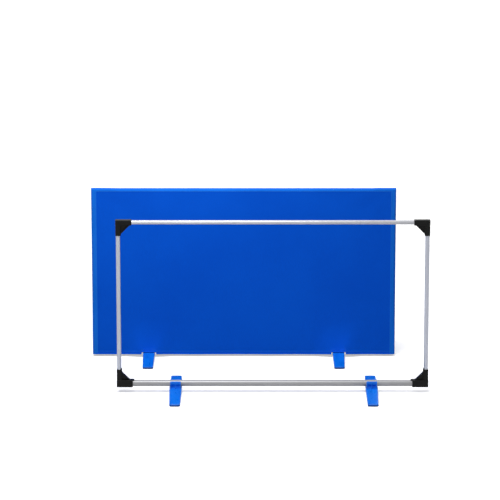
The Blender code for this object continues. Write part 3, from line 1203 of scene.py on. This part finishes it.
    def rib_plate(self, middle: float, toward: int) -> bpy.types.Mesh:
        """One rib: a thin plate down from the clip's jaw to the bar, proud of the clip's wall.

        Its outer edge follows the wall as far as a shoulder, then slopes to the bar in a
        slight hollow. Its inner edge stays within the wall. The rows between them are thinner
        near the outer edge.

        Args:
            middle: Where it stands along the rail.
            toward: -1 for a front rib and 1 for a rear one.

        Returns:
            The mesh.
        """
        jaw = self.front_jaw if toward < 0 else self.rear_jaw
        ring = self.bore + self.wall
        tip = jaw - self.rib_below_tip
        grown = eased(np.linspace(0, 1, self.shoulder_points))
        proud = self.rib_proud * (self.rib_start + (1 - self.rib_start) * grown)
        y_up, z_up = self.on_ring(np.linspace(tip, self.rib_shoulder, self.shoulder_points),
                                  ring + proud)
        share = np.linspace(0, 1, self.slope_points + 1)[1:]
        y_down = y_up[-1] + (self.rib_reach - y_up[-1]) * share
        z_down = z_up[-1] + (self.mid_height - z_up[-1]) * share
        z_down = z_down - self.rib_hollow * np.sin(np.pi * share)
        turn = np.linspace(tip, self.rib_root, len(y_up) + len(y_down))
        y_in, z_in = self.on_ring(turn, self.bore + self.wall / 2)
        z_in = np.maximum(z_in, self.sunk())
        y_out = np.concatenate([y_up, y_down, [self.rib_reach]])
        z_out = np.concatenate([z_up, z_down, [self.sunk()]])
        y_in = np.append(y_in, y_in[-1])
        z_in = np.append(z_in, self.sunk() - self.edge)
        mix = np.array(self.rib_rows)[:, None]
        half = self.rib / 2 * np.array(self.rib_widths)[:, None]
        y = toward * (y_in + (y_out - y_in) * mix)
        z = z_in + (z_out - z_in) * mix
        faces = [np.stack(np.broadcast_arrays(middle + side * half, y, z), axis=-1)
                 for side in (-1, 1)]
        return Skin().sheet(*faces).mesh("rib")

    def mesh(self) -> bpy.types.Mesh:
        """The whole foot as one closed mesh.

        Returns:
            The mesh.
        """
        outer = self.clip_width / 2 - self.rib / 2
        solids = [self.bar(), self.saddle(), self.clip()]
        for middle in (-outer + self.edge, 0, outer - self.edge):
            for toward in (-1, 1):
                solids.append(self.rib_plate(middle, toward))
        return fuse("foot", solids)


@dataclass(frozen=True)
class Barrier:
    """The tubes, corners and feet of one barrier."""

    prefix: str
    body: str
    top_rail: Tube = Tube(diameter=0.019, wall=0.0012, run=Run.ALONG_X)
    bottom_rail: Tube = Tube(diameter=0.028, wall=0.0014, run=Run.ALONG_X)
    upright: Tube = Tube(diameter=0.019, wall=0.0012, run=Run.ALONG_Z)

    def tubes(self, steels: dict[str, bpy.types.Material]) -> None:
        """Put the four tubes in place.

        Args:
            steels: The finish of each tube.
        """
        for part, tube in (("top_rail", self.top_rail), ("bottom_rail", self.bottom_rail),
                           ("left_upright", self.upright), ("right_upright", self.upright)):
            node = self.prefix + part
            show(node + "_tube", tube.mesh(node), steels[part], self.body, Slot.STEEL, (node,))

    def corners(self, low: bpy.types.Mesh, high: bpy.types.Mesh,
                black: bpy.types.Material) -> None:
        """Put the four corner connectors in place, each mirrored to its corner.

        Args:
            low: A bottom connector.
            high: A top connector.
            black: Their finish.
        """
        for level, mesh, over in (("bottom", low, 1), ("top", high, -1)):
            for hand in Hand:
                node = f"{self.prefix}{level}_{hand.name.lower()}_connector"
                lowest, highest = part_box(node)
                x = lowest.x if hand is Hand.LEFT else highest.x
                z = lowest.z if over > 0 else highest.z
                shift = np.array([x, (lowest.y + highest.y) / 2, z])
                placed = moved(mesh, shift, np.array([-hand.value, 1, over]))
                show(node + "_moulding", placed, black, self.body, Slot.BLACK, (node,))

    def feet(self, foot: bpy.types.Mesh, blue: bpy.types.Material) -> None:
        """Put the two feet in place.

        Args:
            foot: A foot.
            blue: Its finish.
        """
        for hand in Hand:
            node = f"{self.prefix}{hand.name.lower()}_foot"
            lowest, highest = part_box(node)
            shift = np.array([(lowest.x + highest.x) / 2, (lowest.y + highest.y) / 2, 0])
            show(node + "_moulding", moved(foot, shift), blue, node, Slot.BLUE, (node,))


# Cover


@dataclass(frozen=True)
class Folds:
    """A train of folds across a panel.

    Lean is how far their phase turns per metre of height, and late is the factor on the
    phase shift between the two faces.
    """

    depth: float
    length: float
    start: float = 0.0
    lean: float = 0.0
    late: int = 1

    def wave(self, x: Array, z: Array, late: float) -> Array:
        """Their depth: d sin(2 pi x / length + start + lean z + late)."""
        turn = x * 2 * np.pi / self.length + self.start + z * self.lean + self.late * late
        return self.depth * np.sin(turn)


@dataclass(frozen=True)
class Pulls:
    """Pulls that fan out from a place on the cloth, seen from a root behind it."""

    depth: float
    number: int
    root: float
    reach: float

    def fan(self, beside: Array, ahead: Array, away: Array, late: float) -> Array:
        """Their depth: d sin(n angle + late) exp(-away / reach), with the angle at the root."""
        angle = np.arctan2(beside, ahead + self.root)
        return self.depth * np.sin(angle * self.number + late) * np.exp(-away / self.reach)


@dataclass(frozen=True)
class CoverShape:
    """Sizes of the sewn sleeve and the surface that its cloth follows.

    X is counted from the barrier's middle, depth from its plane and Z from the floor.
    """

    half_width: float = 0.7005
    top: float = 0.7998
    cloth: float = 0.0009
    half_base: float = 0.0183
    half_top: float = 0.0138
    taper_start: float = 0.056
    hem_gap: float = 0.010
    hem_depth: float = 0.017
    hem_fold: float = 0.0006
    fold_edge: float = 0.0016
    hem_roll: float = 0.0030
    roll_bulge: float = 0.7
    hem_seam: float = 0.0022
    seam_sunk: float = 0.0003
    seam_width: float = 0.0009
    side_band: float = 0.024
    top_band: float = 0.012
    side_lap: float = 0.018
    top_lap: float = 0.009
    foot_place: float = 0.440
    notch_height: float = 0.024
    hem_lift: float = 0.0040
    notch_half: float = 0.0316
    notch_slope: float = 0.0035
    tent_top: float = 0.170
    tent_half: float = 0.034
    tent_slope: float = 0.085
    tent_out: float = 0.0147
    tent_hollow: float = 1.7
    edge_bulge: float = 0.0003
    calm_beside: float = 0.10
    calm_below: float = 0.06
    dish: float = 0.0016
    fold_hollow: float = 1.3
    folds: tuple[Folds, ...] = (Folds(0.0007, 0.31, 0.8), Folds(0.0005, 0.187, 2.1, late=-1),
                                Folds(0.0004, 0.55, lean=3))
    foot_pulls: Pulls = Pulls(depth=0.0011, number=7, root=0.05, reach=0.11)
    foot_pull_width: float = 0.13
    corner_pulls: Pulls = Pulls(depth=0.0009, number=11, root=0.02, reach=0.16)
    face_shift: float = 1.3

    def half_depth(self, z: Array) -> Array:
        """Outer half depth of the sleeve: wide over the bottom rail, slim at the top."""
        share = (z - self.taper_start) / (self.top - self.top_band - self.taper_start)
        return self.half_base + (self.half_top - self.half_base) * np.clip(share, 0, 1)

    def from_foot(self, x: Array) -> Array:
        """Distance along the cover to the middle of the nearest foot."""
        return np.abs(np.abs(x) - self.foot_place)

    def flank(self, x: Array) -> Array:
        """How near a place is to a foot: 1 beside the foot, 0 where the cloth hangs freely."""
        return 1 - eased((self.from_foot(x) - self.tent_half) / self.tent_slope)

    def hem(self, x: Array) -> Array:
        """Height of the hem: drawn up a little towards each foot and raised over it.

        Args:
            x: Places along the cover.

        Returns:
            The heights.
        """
        base = self.hem_gap + self.hem_lift * self.flank(x)
        raised = 1 - eased((self.from_foot(x) - self.notch_half) / self.notch_slope)
        return base + (self.notch_height - base) * raised

    def tent(self, x: Array, z: Array) -> Array:
        """How far the cloth stands out to pass over a clip and its ribs."""
        rise = np.clip((self.tent_top - z) / (self.tent_top - self.notch_height), 0, 1)
        return self.tent_out * self.flank(x) * rise**self.tent_hollow

    def waves(self, x: Array, z: Array, face: Face) -> Array:
        """Small outward and inward waves of cloth that hangs taut.

        A shallow dish between the tubes, slow folds that grow towards the hem, pulls that
        fan up from each foot and pulls that leave the top corners. All fade out at the bands.

        Args:
            x: Places along the cover.
            z: Their heights.
            face: The face of the cover.

        Returns:
            How far the cloth stands out.
        """
        edge = self.half_width - self.side_band - np.abs(x)
        below = self.top - z
        loose = eased(edge / self.calm_beside) * eased((below - self.top_band) / self.calm_below)
        height = z / self.top
        late = face.value * self.face_shift
        dish = -self.dish * np.cos(x / self.half_width * np.pi / 2) * np.sin(np.pi * height)
        folds = (1 - height) ** self.fold_hollow * sum(f.wave(x, z, late) for f in self.folds)
        side = np.abs(x) - self.foot_place
        above = np.maximum(z - self.notch_height, 0)
        near_foot = np.exp(-(side / self.foot_pull_width) ** 2)
        over_foot = self.foot_pulls.fan(side, above, above, late) * near_foot
        at_corner = self.corner_pulls.fan(below, edge, np.hypot(edge, below), late)
        return loose * (dish + folds + over_foot + at_corner)

    def panel_depth(self, x: Array, z: Array, face: Face) -> Array:
        """Depth of a panel's outer surface, with a thicker hem that ends in a round roll.

        Args:
            x: Places along the cover.
            z: Their heights.
            face: The face of the cover.

        Returns:
            Distances from the barrier's plane.
        """
        share = np.clip((z - self.hem(x)) / self.hem_roll - 1, -1, 1)
        roll = self.hem_roll * self.roll_bulge * np.sqrt(1 - share**2)
        above = z - self.hem(x) - self.hem_depth
        fold = self.hem_fold * (1 - eased(above / self.fold_edge + 0.5)) + roll
        seam = -self.seam_sunk * np.exp(-((above + self.hem_seam) / self.seam_width) ** 2)
        return self.half_depth(z) + self.tent(x, z) + self.waves(x, z, face) + fold + seam


@dataclass(frozen=True)
class Ridge:
    """How a band is rounded over its tube, inwards and in depth.

    It follows the connectors' square arms at its ends. In its free stretch between them it
    is softer, by the sizes called more.
    """

    inward: float
    deep: float
    more_inward: float
    more_deep: float


@dataclass(frozen=True)
class Cover:
    """The cover: two panels, three edge bands and their stitching.

    Rows and columns of points are closest at seams, folds and the hem. Hem rows are heights
    over the hem, seam rows and columns are distances from a seam, and a band's first and
    last rows and its columns are shares of its length and its width.
    """

    shape: CoverShape
    centre: tuple[float, float]
    side_ridge: Ridge = Ridge(inward=0.009, deep=0.0045, more_inward=0.005, more_deep=0.0055)
    side_free: tuple[float, float] = (0.115, 0.725)
    top_ridge: Ridge = Ridge(inward=0.0045, deep=0.0045, more_inward=0.0035, more_deep=0.0060)
    top_held: float = 0.075
    ridge_blend: float = 0.04
    pitch: float = 0.0050
    stitch_long: float = 0.36
    stitch_full: float = 0.24
    thread: float = 0.00034
    thread_sunk: float = 0.25
    stitch_share: float = 0.9
    seam_start: float = 0.002
    slope_step: float = 0.001
    pucker_depth: float = 0.00016
    pucker_length: float = 0.0135
    pucker_width: float = 0.004
    pucker_calm: float = 0.03
    pucker_drift: float = 37.0
    pucker_sway: float = 1.5
    panel_columns: int = 121
    seam_columns: tuple[float, ...] = (0.002, 0.0045, 0.0065, 0.009, 0.014)
    foot_spread: float = 0.09
    foot_columns: int = 37
    slope_columns: int = 6
    slope_past: float = 0.1
    closest: float = 0.0006
    roll_rows: int = 11
    hem_rows: tuple[float, ...] = (0.0075, 0.009, 0.012, 0.0138, 0.0146, 0.0154, 0.0162, 0.0170,
                                   0.0178, 0.0190, 0.0220)
    level_from: float = 0.125
    rising_rows: int = 15
    panel_rows: int = 62
    seam_rows: tuple[float, ...] = (0.02, 0.012, 0.006, 0.003, 0.001, 0)
    seam_zone: float = 0.03
    band_columns: tuple[float, ...] = (1, 0.96, 0.92, 0.84, 0.72, 0.6, 0.52, 0.44, 0.3, 0.16)
    ridge_points: int = 11
    ridge_columns: tuple[float, ...] = (0.66, 0.33)
    side_rows: int = 190
    first_rows: tuple[float, ...] = (0, 0.0018, 0.004)
    last_rows: tuple[float, ...] = (0.9985, 1)
    top_rows: int = 330
    lap_from: float = 0.93
    lap_over: float = 0.14
    girth_rows: int = 60
    side_seam_points: int = 400
    top_seam_points: int = 700
    hem_seam_points: int = 1400

    def middle(self) -> Array:
        """The barrier's middle on the floor."""
        return np.array([*self.centre, 0.0])

    def columns(self) -> Array:
        """Places across a panel: even steps, with closer ones at the bands and the feet.

        They are rounded to a hundredth of a millimetre, and a place too close to the one
        before it is left out.

        Returns:
            X of each column.
        """
        s = self.shape
        end = s.half_width - s.side_lap
        plain = np.linspace(-end, end, self.panel_columns)
        near_bands = end - np.array(self.seam_columns)
        near_feet = s.foot_place + np.linspace(-self.foot_spread, self.foot_spread,
                                               self.foot_columns)
        slope = s.notch_half + s.notch_slope * np.linspace(-self.slope_past,
                                                           1 + self.slope_past,
                                                           self.slope_columns)
        right = np.concatenate([plain, near_bands, near_feet, s.foot_place + slope,
                                s.foot_place - slope])
        every = np.unique(np.round(np.concatenate([right, -right]), 5))
        kept = np.concatenate([[True], np.diff(every) > self.closest])
        return every[kept]

    def levels(self, x: Array) -> Array:
        """Heights up a panel at each place: close together at the hem and at the top seam.

        Args:
            x: Places across the panel.

        Returns:
            Heights, places by rows.
        """
        s = self.shape
        roll = s.hem_roll * (1 - np.cos(np.linspace(0, np.pi, self.roll_rows)))
        hem = s.hem(x)[:, None]
        low = hem + np.concatenate([roll, self.hem_rows])
        knee = low[:, -1:]
        rising = knee + (self.level_from - knee) * np.linspace(0, 1, self.rising_rows)[1:]
        top = s.top - s.top_lap
        level = np.linspace(self.level_from, top - self.seam_zone, self.panel_rows)[1:]
        high = np.concatenate([level, top - np.array(self.seam_rows)])
        upper = np.broadcast_to(high, (len(x), len(high)))
        return np.concatenate([low, rising, upper], axis=1)

    def panel(self, face: Face) -> bpy.types.Mesh:
        """One panel as a closed sheet with a soft hem edge.

        Args:
            face: Which one.

        Returns:
            The mesh.
        """
        s = self.shape
        x = self.columns()[:, None]
        z = self.levels(x[:, 0])
        x = np.broadcast_to(x, z.shape)
        depth = s.panel_depth(x, z, face)
        faces = []
        for inset in (0, s.cloth):
            local = np.stack([x, face.value * (depth - inset), z], axis=-1)
            faces.append(local + self.middle())
        outer, inner = soft_edges(faces[0], faces[1], s.edge_bulge)
        marks = np.stack([x, z], axis=-1)
        marks = np.concatenate([marks[:, :1], marks, marks[:, -1:]], axis=1)
        return Skin().sheet(outer, inner, marks).mesh(f"{face.name.lower()} panel")

    def band_section(self, width: float, lap: float, half: Array, free: Array,
                     ridge: Ridge) -> tuple[Array, Array]:
        """A band's outline from its front edge over the ridge to its back edge.

        Each row goes in along the front face, round an ellipse's quarter, across the ridge
        and back again on the other face, and stands proud where it laps over a panel.

        Args:
            width: How far the band reaches in from the ridge.
            lap: Where the panel's edge lies under it.
            half: Half depth of the band, one per row.
            free: How freely the band hangs, from 0 at a connector to 1, one per row.
            ridge: The ellipse's sizes.

        Returns:
            Distances in from the ridge and depths, rows by columns.
        """
        round_in = (ridge.inward + ridge.more_inward * free)[:, None]
        round_deep = (ridge.deep + ridge.more_deep * free)[:, None]
        half = half[:, None]
        face = round_in + (width - round_in) * np.array(self.band_columns)
        bend = quarter(self.ridge_points)
        turned = round_in * (1 - np.sin(bend))
        inward = np.concatenate([face, turned, np.zeros((len(half), 2))], axis=1)
        rise = self.shape.cloth * eased((inward / lap - self.lap_from) / self.lap_over)
        dip = np.concatenate([np.zeros(len(self.band_columns)), 1 - np.cos(bend)])
        over = (half - round_deep) * np.array(self.ridge_columns)
        depth = np.concatenate([half - round_deep * dip, over], axis=1) + rise
        both_in = np.concatenate([inward, inward[:, ::-1]], axis=1)
        both_depth = np.concatenate([-depth, depth[:, ::-1]], axis=1)
        return both_in, both_depth

    def band_faces(self, inward: Array, depth: Array) -> tuple[tuple[Array, Array], ...]:
        """A band's outer and inner outlines, a cloth's thickness apart.

        The inner outline is moved along the outline's own normal, which is the slope turned
        by a right angle.

        Args:
            inward: Distances in from the ridge, rows by columns.
            depth: Depths, rows by columns.

        Returns:
            Both outlines.
        """
        slope = unit(np.stack([np.gradient(inward, axis=1), np.gradient(depth, axis=1)], axis=-1))
        inner = (inward + self.shape.cloth * slope[..., 1],
                 depth - self.shape.cloth * slope[..., 0])
        return (inward, depth), inner

    def gathered(self, run: Array, outline: tuple[Array, Array], width: float,
                 end: float) -> tuple[Array, Array]:
        """A band's outline with fine gathers along its stitched edge.

        They are waves whose length drifts a little, and they fade out at the slanted end.

        Args:
            run: Place along the band, one per row.
            outline: Distances in from the ridge and depths, rows by columns.
            width: How far the band reaches in from the ridge.
            end: Where its slanted end is.

        Returns:
            The outline, gathered.
        """
        inward, depth = outline
        run = run[:, None]
        near = np.exp(-((inward - width * self.stitch_share) / self.pucker_width) ** 2)
        calm = eased((end - np.abs(run)) / self.pucker_calm)
        drift = np.sin(run * self.pucker_drift) * self.pucker_sway
        wave = np.sin(run * 2 * np.pi / self.pucker_length + drift)
        return inward, depth + np.sign(depth) * self.pucker_depth * near * calm * wave

    def side_outline(self, z: Array) -> tuple[Array, Array]:
        """Outline of a side band at each height.

        Args:
            z: The heights.

        Returns:
            Distances in from the ridge and depths.
        """
        s = self.shape
        low, high = self.side_free
        free = eased((z - low) / self.ridge_blend) * eased((high - z) / self.ridge_blend)
        return self.band_section(s.side_band, s.side_lap, s.half_depth(z), free,
                                 self.side_ridge)

    def top_outline(self, x: Array) -> tuple[Array, Array]:
        """Outline of the top band at each place.

        Args:
            x: The places.

        Returns:
            Distances in from the ridge and depths.
        """
        s = self.shape
        free = eased((s.half_width - self.top_held - np.abs(x)) / self.ridge_blend)
        return self.band_section(s.top_band, s.top_lap, np.full(len(x), s.half_top), free,
                                 self.top_ridge)

    def side_band(self, hand: Hand) -> bpy.types.Mesh:
        """The band over one upright, cut at a slant at the top to meet the top band.

        Args:
            hand: Which end of the cover.

        Returns:
            The mesh.
        """
        s = self.shape
        steps = np.linspace(0, 1, self.side_rows)
        share = np.concatenate([self.first_rows, steps[2:-1], self.last_rows])
        rows = s.hem_gap + (s.top - s.hem_gap) * share
        outline = self.gathered(rows, self.side_outline(rows), s.side_band, s.top)
        return self.band_mesh(f"{hand.name.lower()} band", outline, share, Run.ALONG_Z,
                              hand.value)

    def top_band(self) -> bpy.types.Mesh:
        """The band over the top rail, cut at a slant at both ends.

        Returns:
            The mesh.
        """
        s = self.shape
        share = np.linspace(-1, 1, self.top_rows)
        x = share * s.half_width
        outline = self.gathered(x, self.top_outline(x), s.top_band, s.half_width)
        return self.band_mesh("top band", outline, share, Run.ALONG_X)

    def girth(self, outline: tuple[Array, Array]) -> float:
        """Mean length of a band's outline, which is the width of its flat cloth.

        Args:
            outline: Distances in from the ridge and depths, rows by columns.

        Returns:
            The length.
        """
        inward, depth = outline
        steps = np.hypot(np.diff(inward, axis=1), np.diff(depth, axis=1))
        return float(steps.sum(axis=1).mean())

    def band_mesh(self, name: str, outline: tuple[Array, Array], share: Array, run: Run,
                  side: int = 1) -> bpy.types.Mesh:
        """A band's closed sheet, cut at a slant where it meets the next band.

        Args:
            name: The mesh's name.
            outline: Distances in from the ridge and depths, rows by columns.
            share: How far along the band each row is, 1 at the slanted end.
            run: The band's direction.
            side: 1 or -1 for the end that a side band covers.

        Returns:
            The mesh.
        """
        s = self.shape
        share = share[:, None]
        faces = []
        for near, deep in self.band_faces(*outline):
            if run is Run.ALONG_Z:
                slant = s.top - near * s.top_band / s.side_band
                along = s.hem_gap + (slant - s.hem_gap) * share
                local = np.stack([side * (s.half_width - near), deep, along], axis=-1)
            else:
                along = (s.half_width - near * s.side_band / s.top_band) * share
                local = np.stack([along, deep, s.top - near], axis=-1)
            faces.append(local + self.middle())
        outer, inner = soft_edges(faces[0], faces[1], s.edge_bulge)
        length = np.concatenate([along[:, :1], along, along[:, -1:]], axis=1)
        marks = np.stack([distance_along(outer), length], axis=-1)
        return Skin().sheet(outer, inner, marks).mesh(name)

    def seam_lines(self) -> list[tuple[Array, Array]]:
        """Every stitched line as points on the cloth and the outward direction there.

        The hem's stitches lean with the cloth, whose slope is taken over a small step.

        Returns:
            Points by 3 and directions by 3, a pair for each line.
        """
        s = self.shape
        lines = []
        side = s.half_width - s.side_band * self.stitch_share
        level = s.top - s.top_band * self.stitch_share
        step = self.slope_step
        end = s.half_width - s.side_band - step
        z = np.linspace(s.hem_gap + self.seam_start, level, self.side_seam_points)
        x = np.linspace(-side, side, self.top_seam_points)
        across = np.linspace(-end, end, self.hem_seam_points)
        height = s.hem(across) + s.hem_depth - s.hem_seam
        for face in Face:
            seams = [(hand.value * side, face.value * (s.half_depth(z) + s.cloth), z)
                     for hand in Hand]
            seams.append((x, face.value * (s.half_top + s.cloth), level))
            for seam in seams:
                line = np.stack(np.broadcast_arrays(*seam), axis=1)
                lines.append((line, np.broadcast_to([0.0, face.value, 0.0], line.shape)))
            here = s.panel_depth(across, height, face)
            tilt = (here - s.panel_depth(across, height + step, face)) / step
            line = np.stack([across, face.value * here, height], axis=1)
            away = np.stack(np.broadcast_arrays(0.0, float(face.value), tilt), axis=1)
            lines.append((line, away))
        return lines

    def stitches(self) -> bpy.types.Mesh:
        """All stitches: short rounded threads laid along the seams at an even pitch.

        Each is a six-sided spindle of four rings: a point, two full rings and a point. Its
        places are read off the line at equal distances along it.

        Returns:
            The mesh.
        """
        spin = np.arange(6) * np.pi / 3
        ring = np.array([0, 1, 1, 0])[:, None] * self.thread
        ends = np.array([-self.stitch_long, -self.stitch_full, self.stitch_full,
                         self.stitch_long])[:, None] * self.pitch

        def read(stops: Array, along: Array, values: Array) -> Array:
            """Values read off a line at distances along it, between its points."""
            return np.stack([np.interp(stops, along, column) for column in values.T], axis=1)

        skin = Skin()
        for line, away in self.seam_lines():
            along = distance_along(line)
            stops = np.arange(self.pitch / 2, along[-1], self.pitch)
            at = read(stops, along, line)
            forward = unit(read(stops + self.slope_step, along, line) - at)
            out = read(stops, along, away)
            out = unit(out - (out * forward).sum(axis=1, keepdims=True) * forward)
            centre = at + out * self.thread * self.thread_sunk + self.middle()
            skin.copies(centre[:, None, None]
                        + forward[:, None, None] * ends[..., None]
                        + out[:, None, None] * (ring * np.cos(spin))[..., None]
                        + np.cross(forward, out)[:, None, None] * (ring * np.sin(spin))[..., None])
        return skin.mesh("stitches")

    def build(self, cloth: bpy.types.Material, lit_band_cloth: bpy.types.Material,
              thread: bpy.types.Material) -> None:
        """Make the cover's pieces and declare each cloth with its flat size.

        Args:
            cloth: The panels' finish.
            lit_band_cloth: The edge bands' finish: the panels' cloth painted lighter.
            thread: The stitches' finish.
        """
        s = self.shape
        panel_flat = (2 * (s.half_width - s.side_lap), s.top - s.top_lap - s.hem_gap)
        heights = np.linspace(s.hem_gap, s.top, self.girth_rows)
        side_flat = (self.girth(self.side_outline(heights)), s.top - s.hem_gap)
        across = np.linspace(-s.half_width, s.half_width, self.girth_rows)
        top_flat = (2 * s.half_width, self.girth(self.top_outline(across)))
        sheets = [(f"cover_{face.name.lower()}_panel", self.panel(face), cloth, panel_flat)
                  for face in Face]
        sheets += [(f"cover_{hand.name.lower()}_band", self.side_band(hand), lit_band_cloth, side_flat)
                   for hand in Hand]
        sheets.append(("cover_top_band", self.top_band(), lit_band_cloth, top_flat))
        for node, mesh, finish, flat in sheets:
            piece = show(node + "_cloth", mesh, finish, "cover", Slot.CLOTH, (node,))
        show("cover_stitching", self.stitches(), thread, "cover", Slot.CLOTH)


# Studio


@dataclass(frozen=True)
class Studio:
    """White floor, soft light from above and the camera of the photograph."""

    camera_place: Place = (-0.0349, -15.0, 4.6153)
    camera_fall: float = 0.2626
    focal_pixels: float = 3431.8
    picture_pixels: float = 500.0
    sensor: float = 36.0
    clip_end: float = 200.0
    floor_size: float = 160.0
    sky: float = 0.22
    key: float = 1.65
    key_softness: float = math.radians(24)
    key_height: float = math.radians(70)
    key_turn: float = math.radians(-25)
    fill: float = 0.7
    fill_softness: float = math.radians(50)
    fill_height: float = math.radians(45)
    fill_turn: float = math.radians(160)
    panel_power: float = 12.5
    panel_size: float = 1.0
    panel_place: Place = (-0.5, -0.75, 1.75)
    panel_target: Place = (-0.15, 0.285, 0.6)
    sun_place: Place = (0.0, 0.0, 3.0)
    floor_glow: float = 0.45
    floor_white: float = 0.92
    floor_grey: float = 0.3

    def camera(self) -> None:
        """The camera: level sideways and tilted down."""
        data = bpy.data.cameras.new("camera")
        data.sensor_width = self.sensor
        data.lens = self.focal_pixels * self.sensor / self.picture_pixels
        data.clip_end = self.clip_end
        item = add("camera", data)
        item.location = self.camera_place
        item.rotation_euler = (math.pi / 2 - self.camera_fall, 0, 0)
        bpy.context.scene.camera = item

    def hang(self, name: str, data: bpy.types.Light, toward: Vector, place: Place) -> None:
        """Put a lamp up so that its light comes from a direction.

        Args:
            name: The lamp's name.
            data: The lamp.
            toward: The direction, towards the light.
            place: Where it hangs.
        """
        item = add(name, data)
        item.location = place
        item.rotation_euler = toward.to_track_quat("Z", "Y").to_euler()

    def sun(self, name: str, energy: float, softness: float, height: float,
            turn: float) -> None:
        """One broad sun; its turn is counted from straight in front, to the right.

        Args:
            name: The sun's name.
            energy: Its strength.
            softness: How wide it looks, in radians.
            height: How high it stands, in radians.
            turn: Its turn in radians.
        """
        data = bpy.data.lights.new(name, "SUN")
        data.energy = energy
        data.angle = softness
        toward = Vector((math.sin(turn) * math.cos(height), -math.cos(turn) * math.cos(height),
                         math.sin(height)))
        self.hang(name, data, toward, self.sun_place)

    def lamps(self) -> None:
        """A high key from the left, a weak fill from behind and a near panel at the left."""
        self.sun("key", self.key, self.key_softness, self.key_height, self.key_turn)
        self.sun("fill", self.fill, self.fill_softness, self.fill_height, self.fill_turn)
        data = bpy.data.lights.new("panel", "AREA")
        data.shape = "DISK"
        data.size = self.panel_size
        data.energy = self.panel_power
        toward = Vector(self.panel_place) - Vector(self.panel_target)
        self.hang("panel", data, toward, self.panel_place)

    def world(self) -> None:
        """White to the camera and in reflections, a plain sky light for the rest."""
        world = bpy.data.worlds.new("studio")
        bpy.context.scene.world = world
        world.use_nodes = True
        world.node_tree.nodes.clear()
        nodes = Nodes(world.node_tree)
        light, white = (nodes.node("ShaderNodeBackground", {"Color": (1, 1, 1, 1),
                                                            "Strength": strength}).outputs[0]
                        for strength in (self.sky, 1.0))
        mix = nodes.node("ShaderNodeMixShader", {0: nodes.in_view(), 1: light, 2: white})
        nodes.node("ShaderNodeOutputWorld", {"Surface": mix.outputs[0]})

    def floor(self) -> None:
        """A plain white floor that keeps the barrier's shadow."""
        bench = Bench("white floor")
        seen = bench.in_view()
        strength = bench.spread(seen, Span(0, 1, 0, self.floor_glow))
        tone = bench.blend(seen, (*[self.floor_grey] * 3, 1), (*[self.floor_white] * 3, 1))
        glow = bench.node("ShaderNodeEmission", {"Strength": strength}).outputs[0]
        matt = bench.node("ShaderNodeBsdfDiffuse", {"Color": tone}).outputs[0]
        both = bench.node("ShaderNodeAddShader", {0: matt, 1: glow}).outputs[0]
        bench.feed(bench.tree.nodes["Material Output"].inputs["Surface"], both)
        bench.tree.nodes.remove(bench.shader)
        half = self.floor_size / 2
        corners = [(-half, -half, 0), (half, -half, 0), (half, half, 0), (-half, half, 0)]
        mesh = bpy.data.meshes.new("floor")
        mesh.from_pydata(corners, [], [(0, 1, 2, 3)])
        mesh.materials.append(bench.material)
        add("floor", mesh)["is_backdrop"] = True

    def build(self) -> None:
        """Set the whole studio up."""
        bpy.context.scene.view_settings.view_transform = "Standard"
        self.camera()
        self.lamps()
        self.world()
        self.floor()


def write_sizes() -> None:
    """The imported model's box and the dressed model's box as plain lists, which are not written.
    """
    boxes = {"cad_box": cad_box, "visual_box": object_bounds()}
    plain = {name: [list(corner) for corner in box] for name, box in boxes.items()}


def main() -> None:
    """Dress both barriers, make the cover and set the studio up."""
    logging.basicConfig(level=logging.INFO, format="%(message)s")
    # One steel in three copies whose colours carry painted light: the top rail's is lighter, as if
    # lit from above, the bottom rail's darker and duller, as if shaded near the floor, and the
    # uprights' lies between them.
    upright_steel = SteelFinish(Run.ALONG_Z, "upright steel", bright=(188, 192, 203),
                                dull=(168, 172, 183)).material()
    steels = {
        "top_rail": SteelFinish(Run.ALONG_X, "top rail steel", bright=(197, 198, 203),
                                dull=(180, 182, 188), metal=0.4, smooth=0.24,
                                rough=0.36).material(),
        "bottom_rail": SteelFinish(Run.ALONG_X, "bottom rail steel", bright=(163, 163, 165),
                                   dull=(144, 144, 146), smooth=0.46, rough=0.6).material(),
        "left_upright": upright_steel,
        "right_upright": upright_steel,
    }
    black = BlackFinish().material()
    blue = BlueFinish().material()
    low = Connector(rail_arm=0.0326, rail_bore=0.0280, upright_reach=0.0810,
                    slope_stop=0.0125, rail_tongue=0.0070,
                    upright_tongue=0.0045).mesh("low connector")
    high = Connector(rail_arm=0.0236, rail_bore=0.0190, upright_reach=0.0720,
                     slope_stop=0.0080, rail_tongue=-0.0006, upright_tongue=-0.0006,
                     bend=0.0045).mesh("high connector")
    foot = Foot().mesh()
    for barrier in (Barrier("covered_", "covered_frame"), Barrier("bare_", "bare_frame")):
        barrier.tubes(steels)
        barrier.corners(low, high, black)
        barrier.feet(foot, blue)
    lowest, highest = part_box("covered_bottom_rail")
    middle = (lowest + highest) / 2
    cover = Cover(CoverShape(), (middle.x, middle.y))
    # Painted light: the bands' cloth is the panels' blue made lighter, as if their rounded edges
    # caught more light.
    lit_band_cloth = ClothFinish("woven edge tape", deep=(16, 111, 231), bright=(24, 121, 243))
    cover.build(ClothFinish().material(), lit_band_cloth.material(), ThreadFinish().material())
    Studio().build()
    write_sizes()


if __name__ == "__main__":
    main()
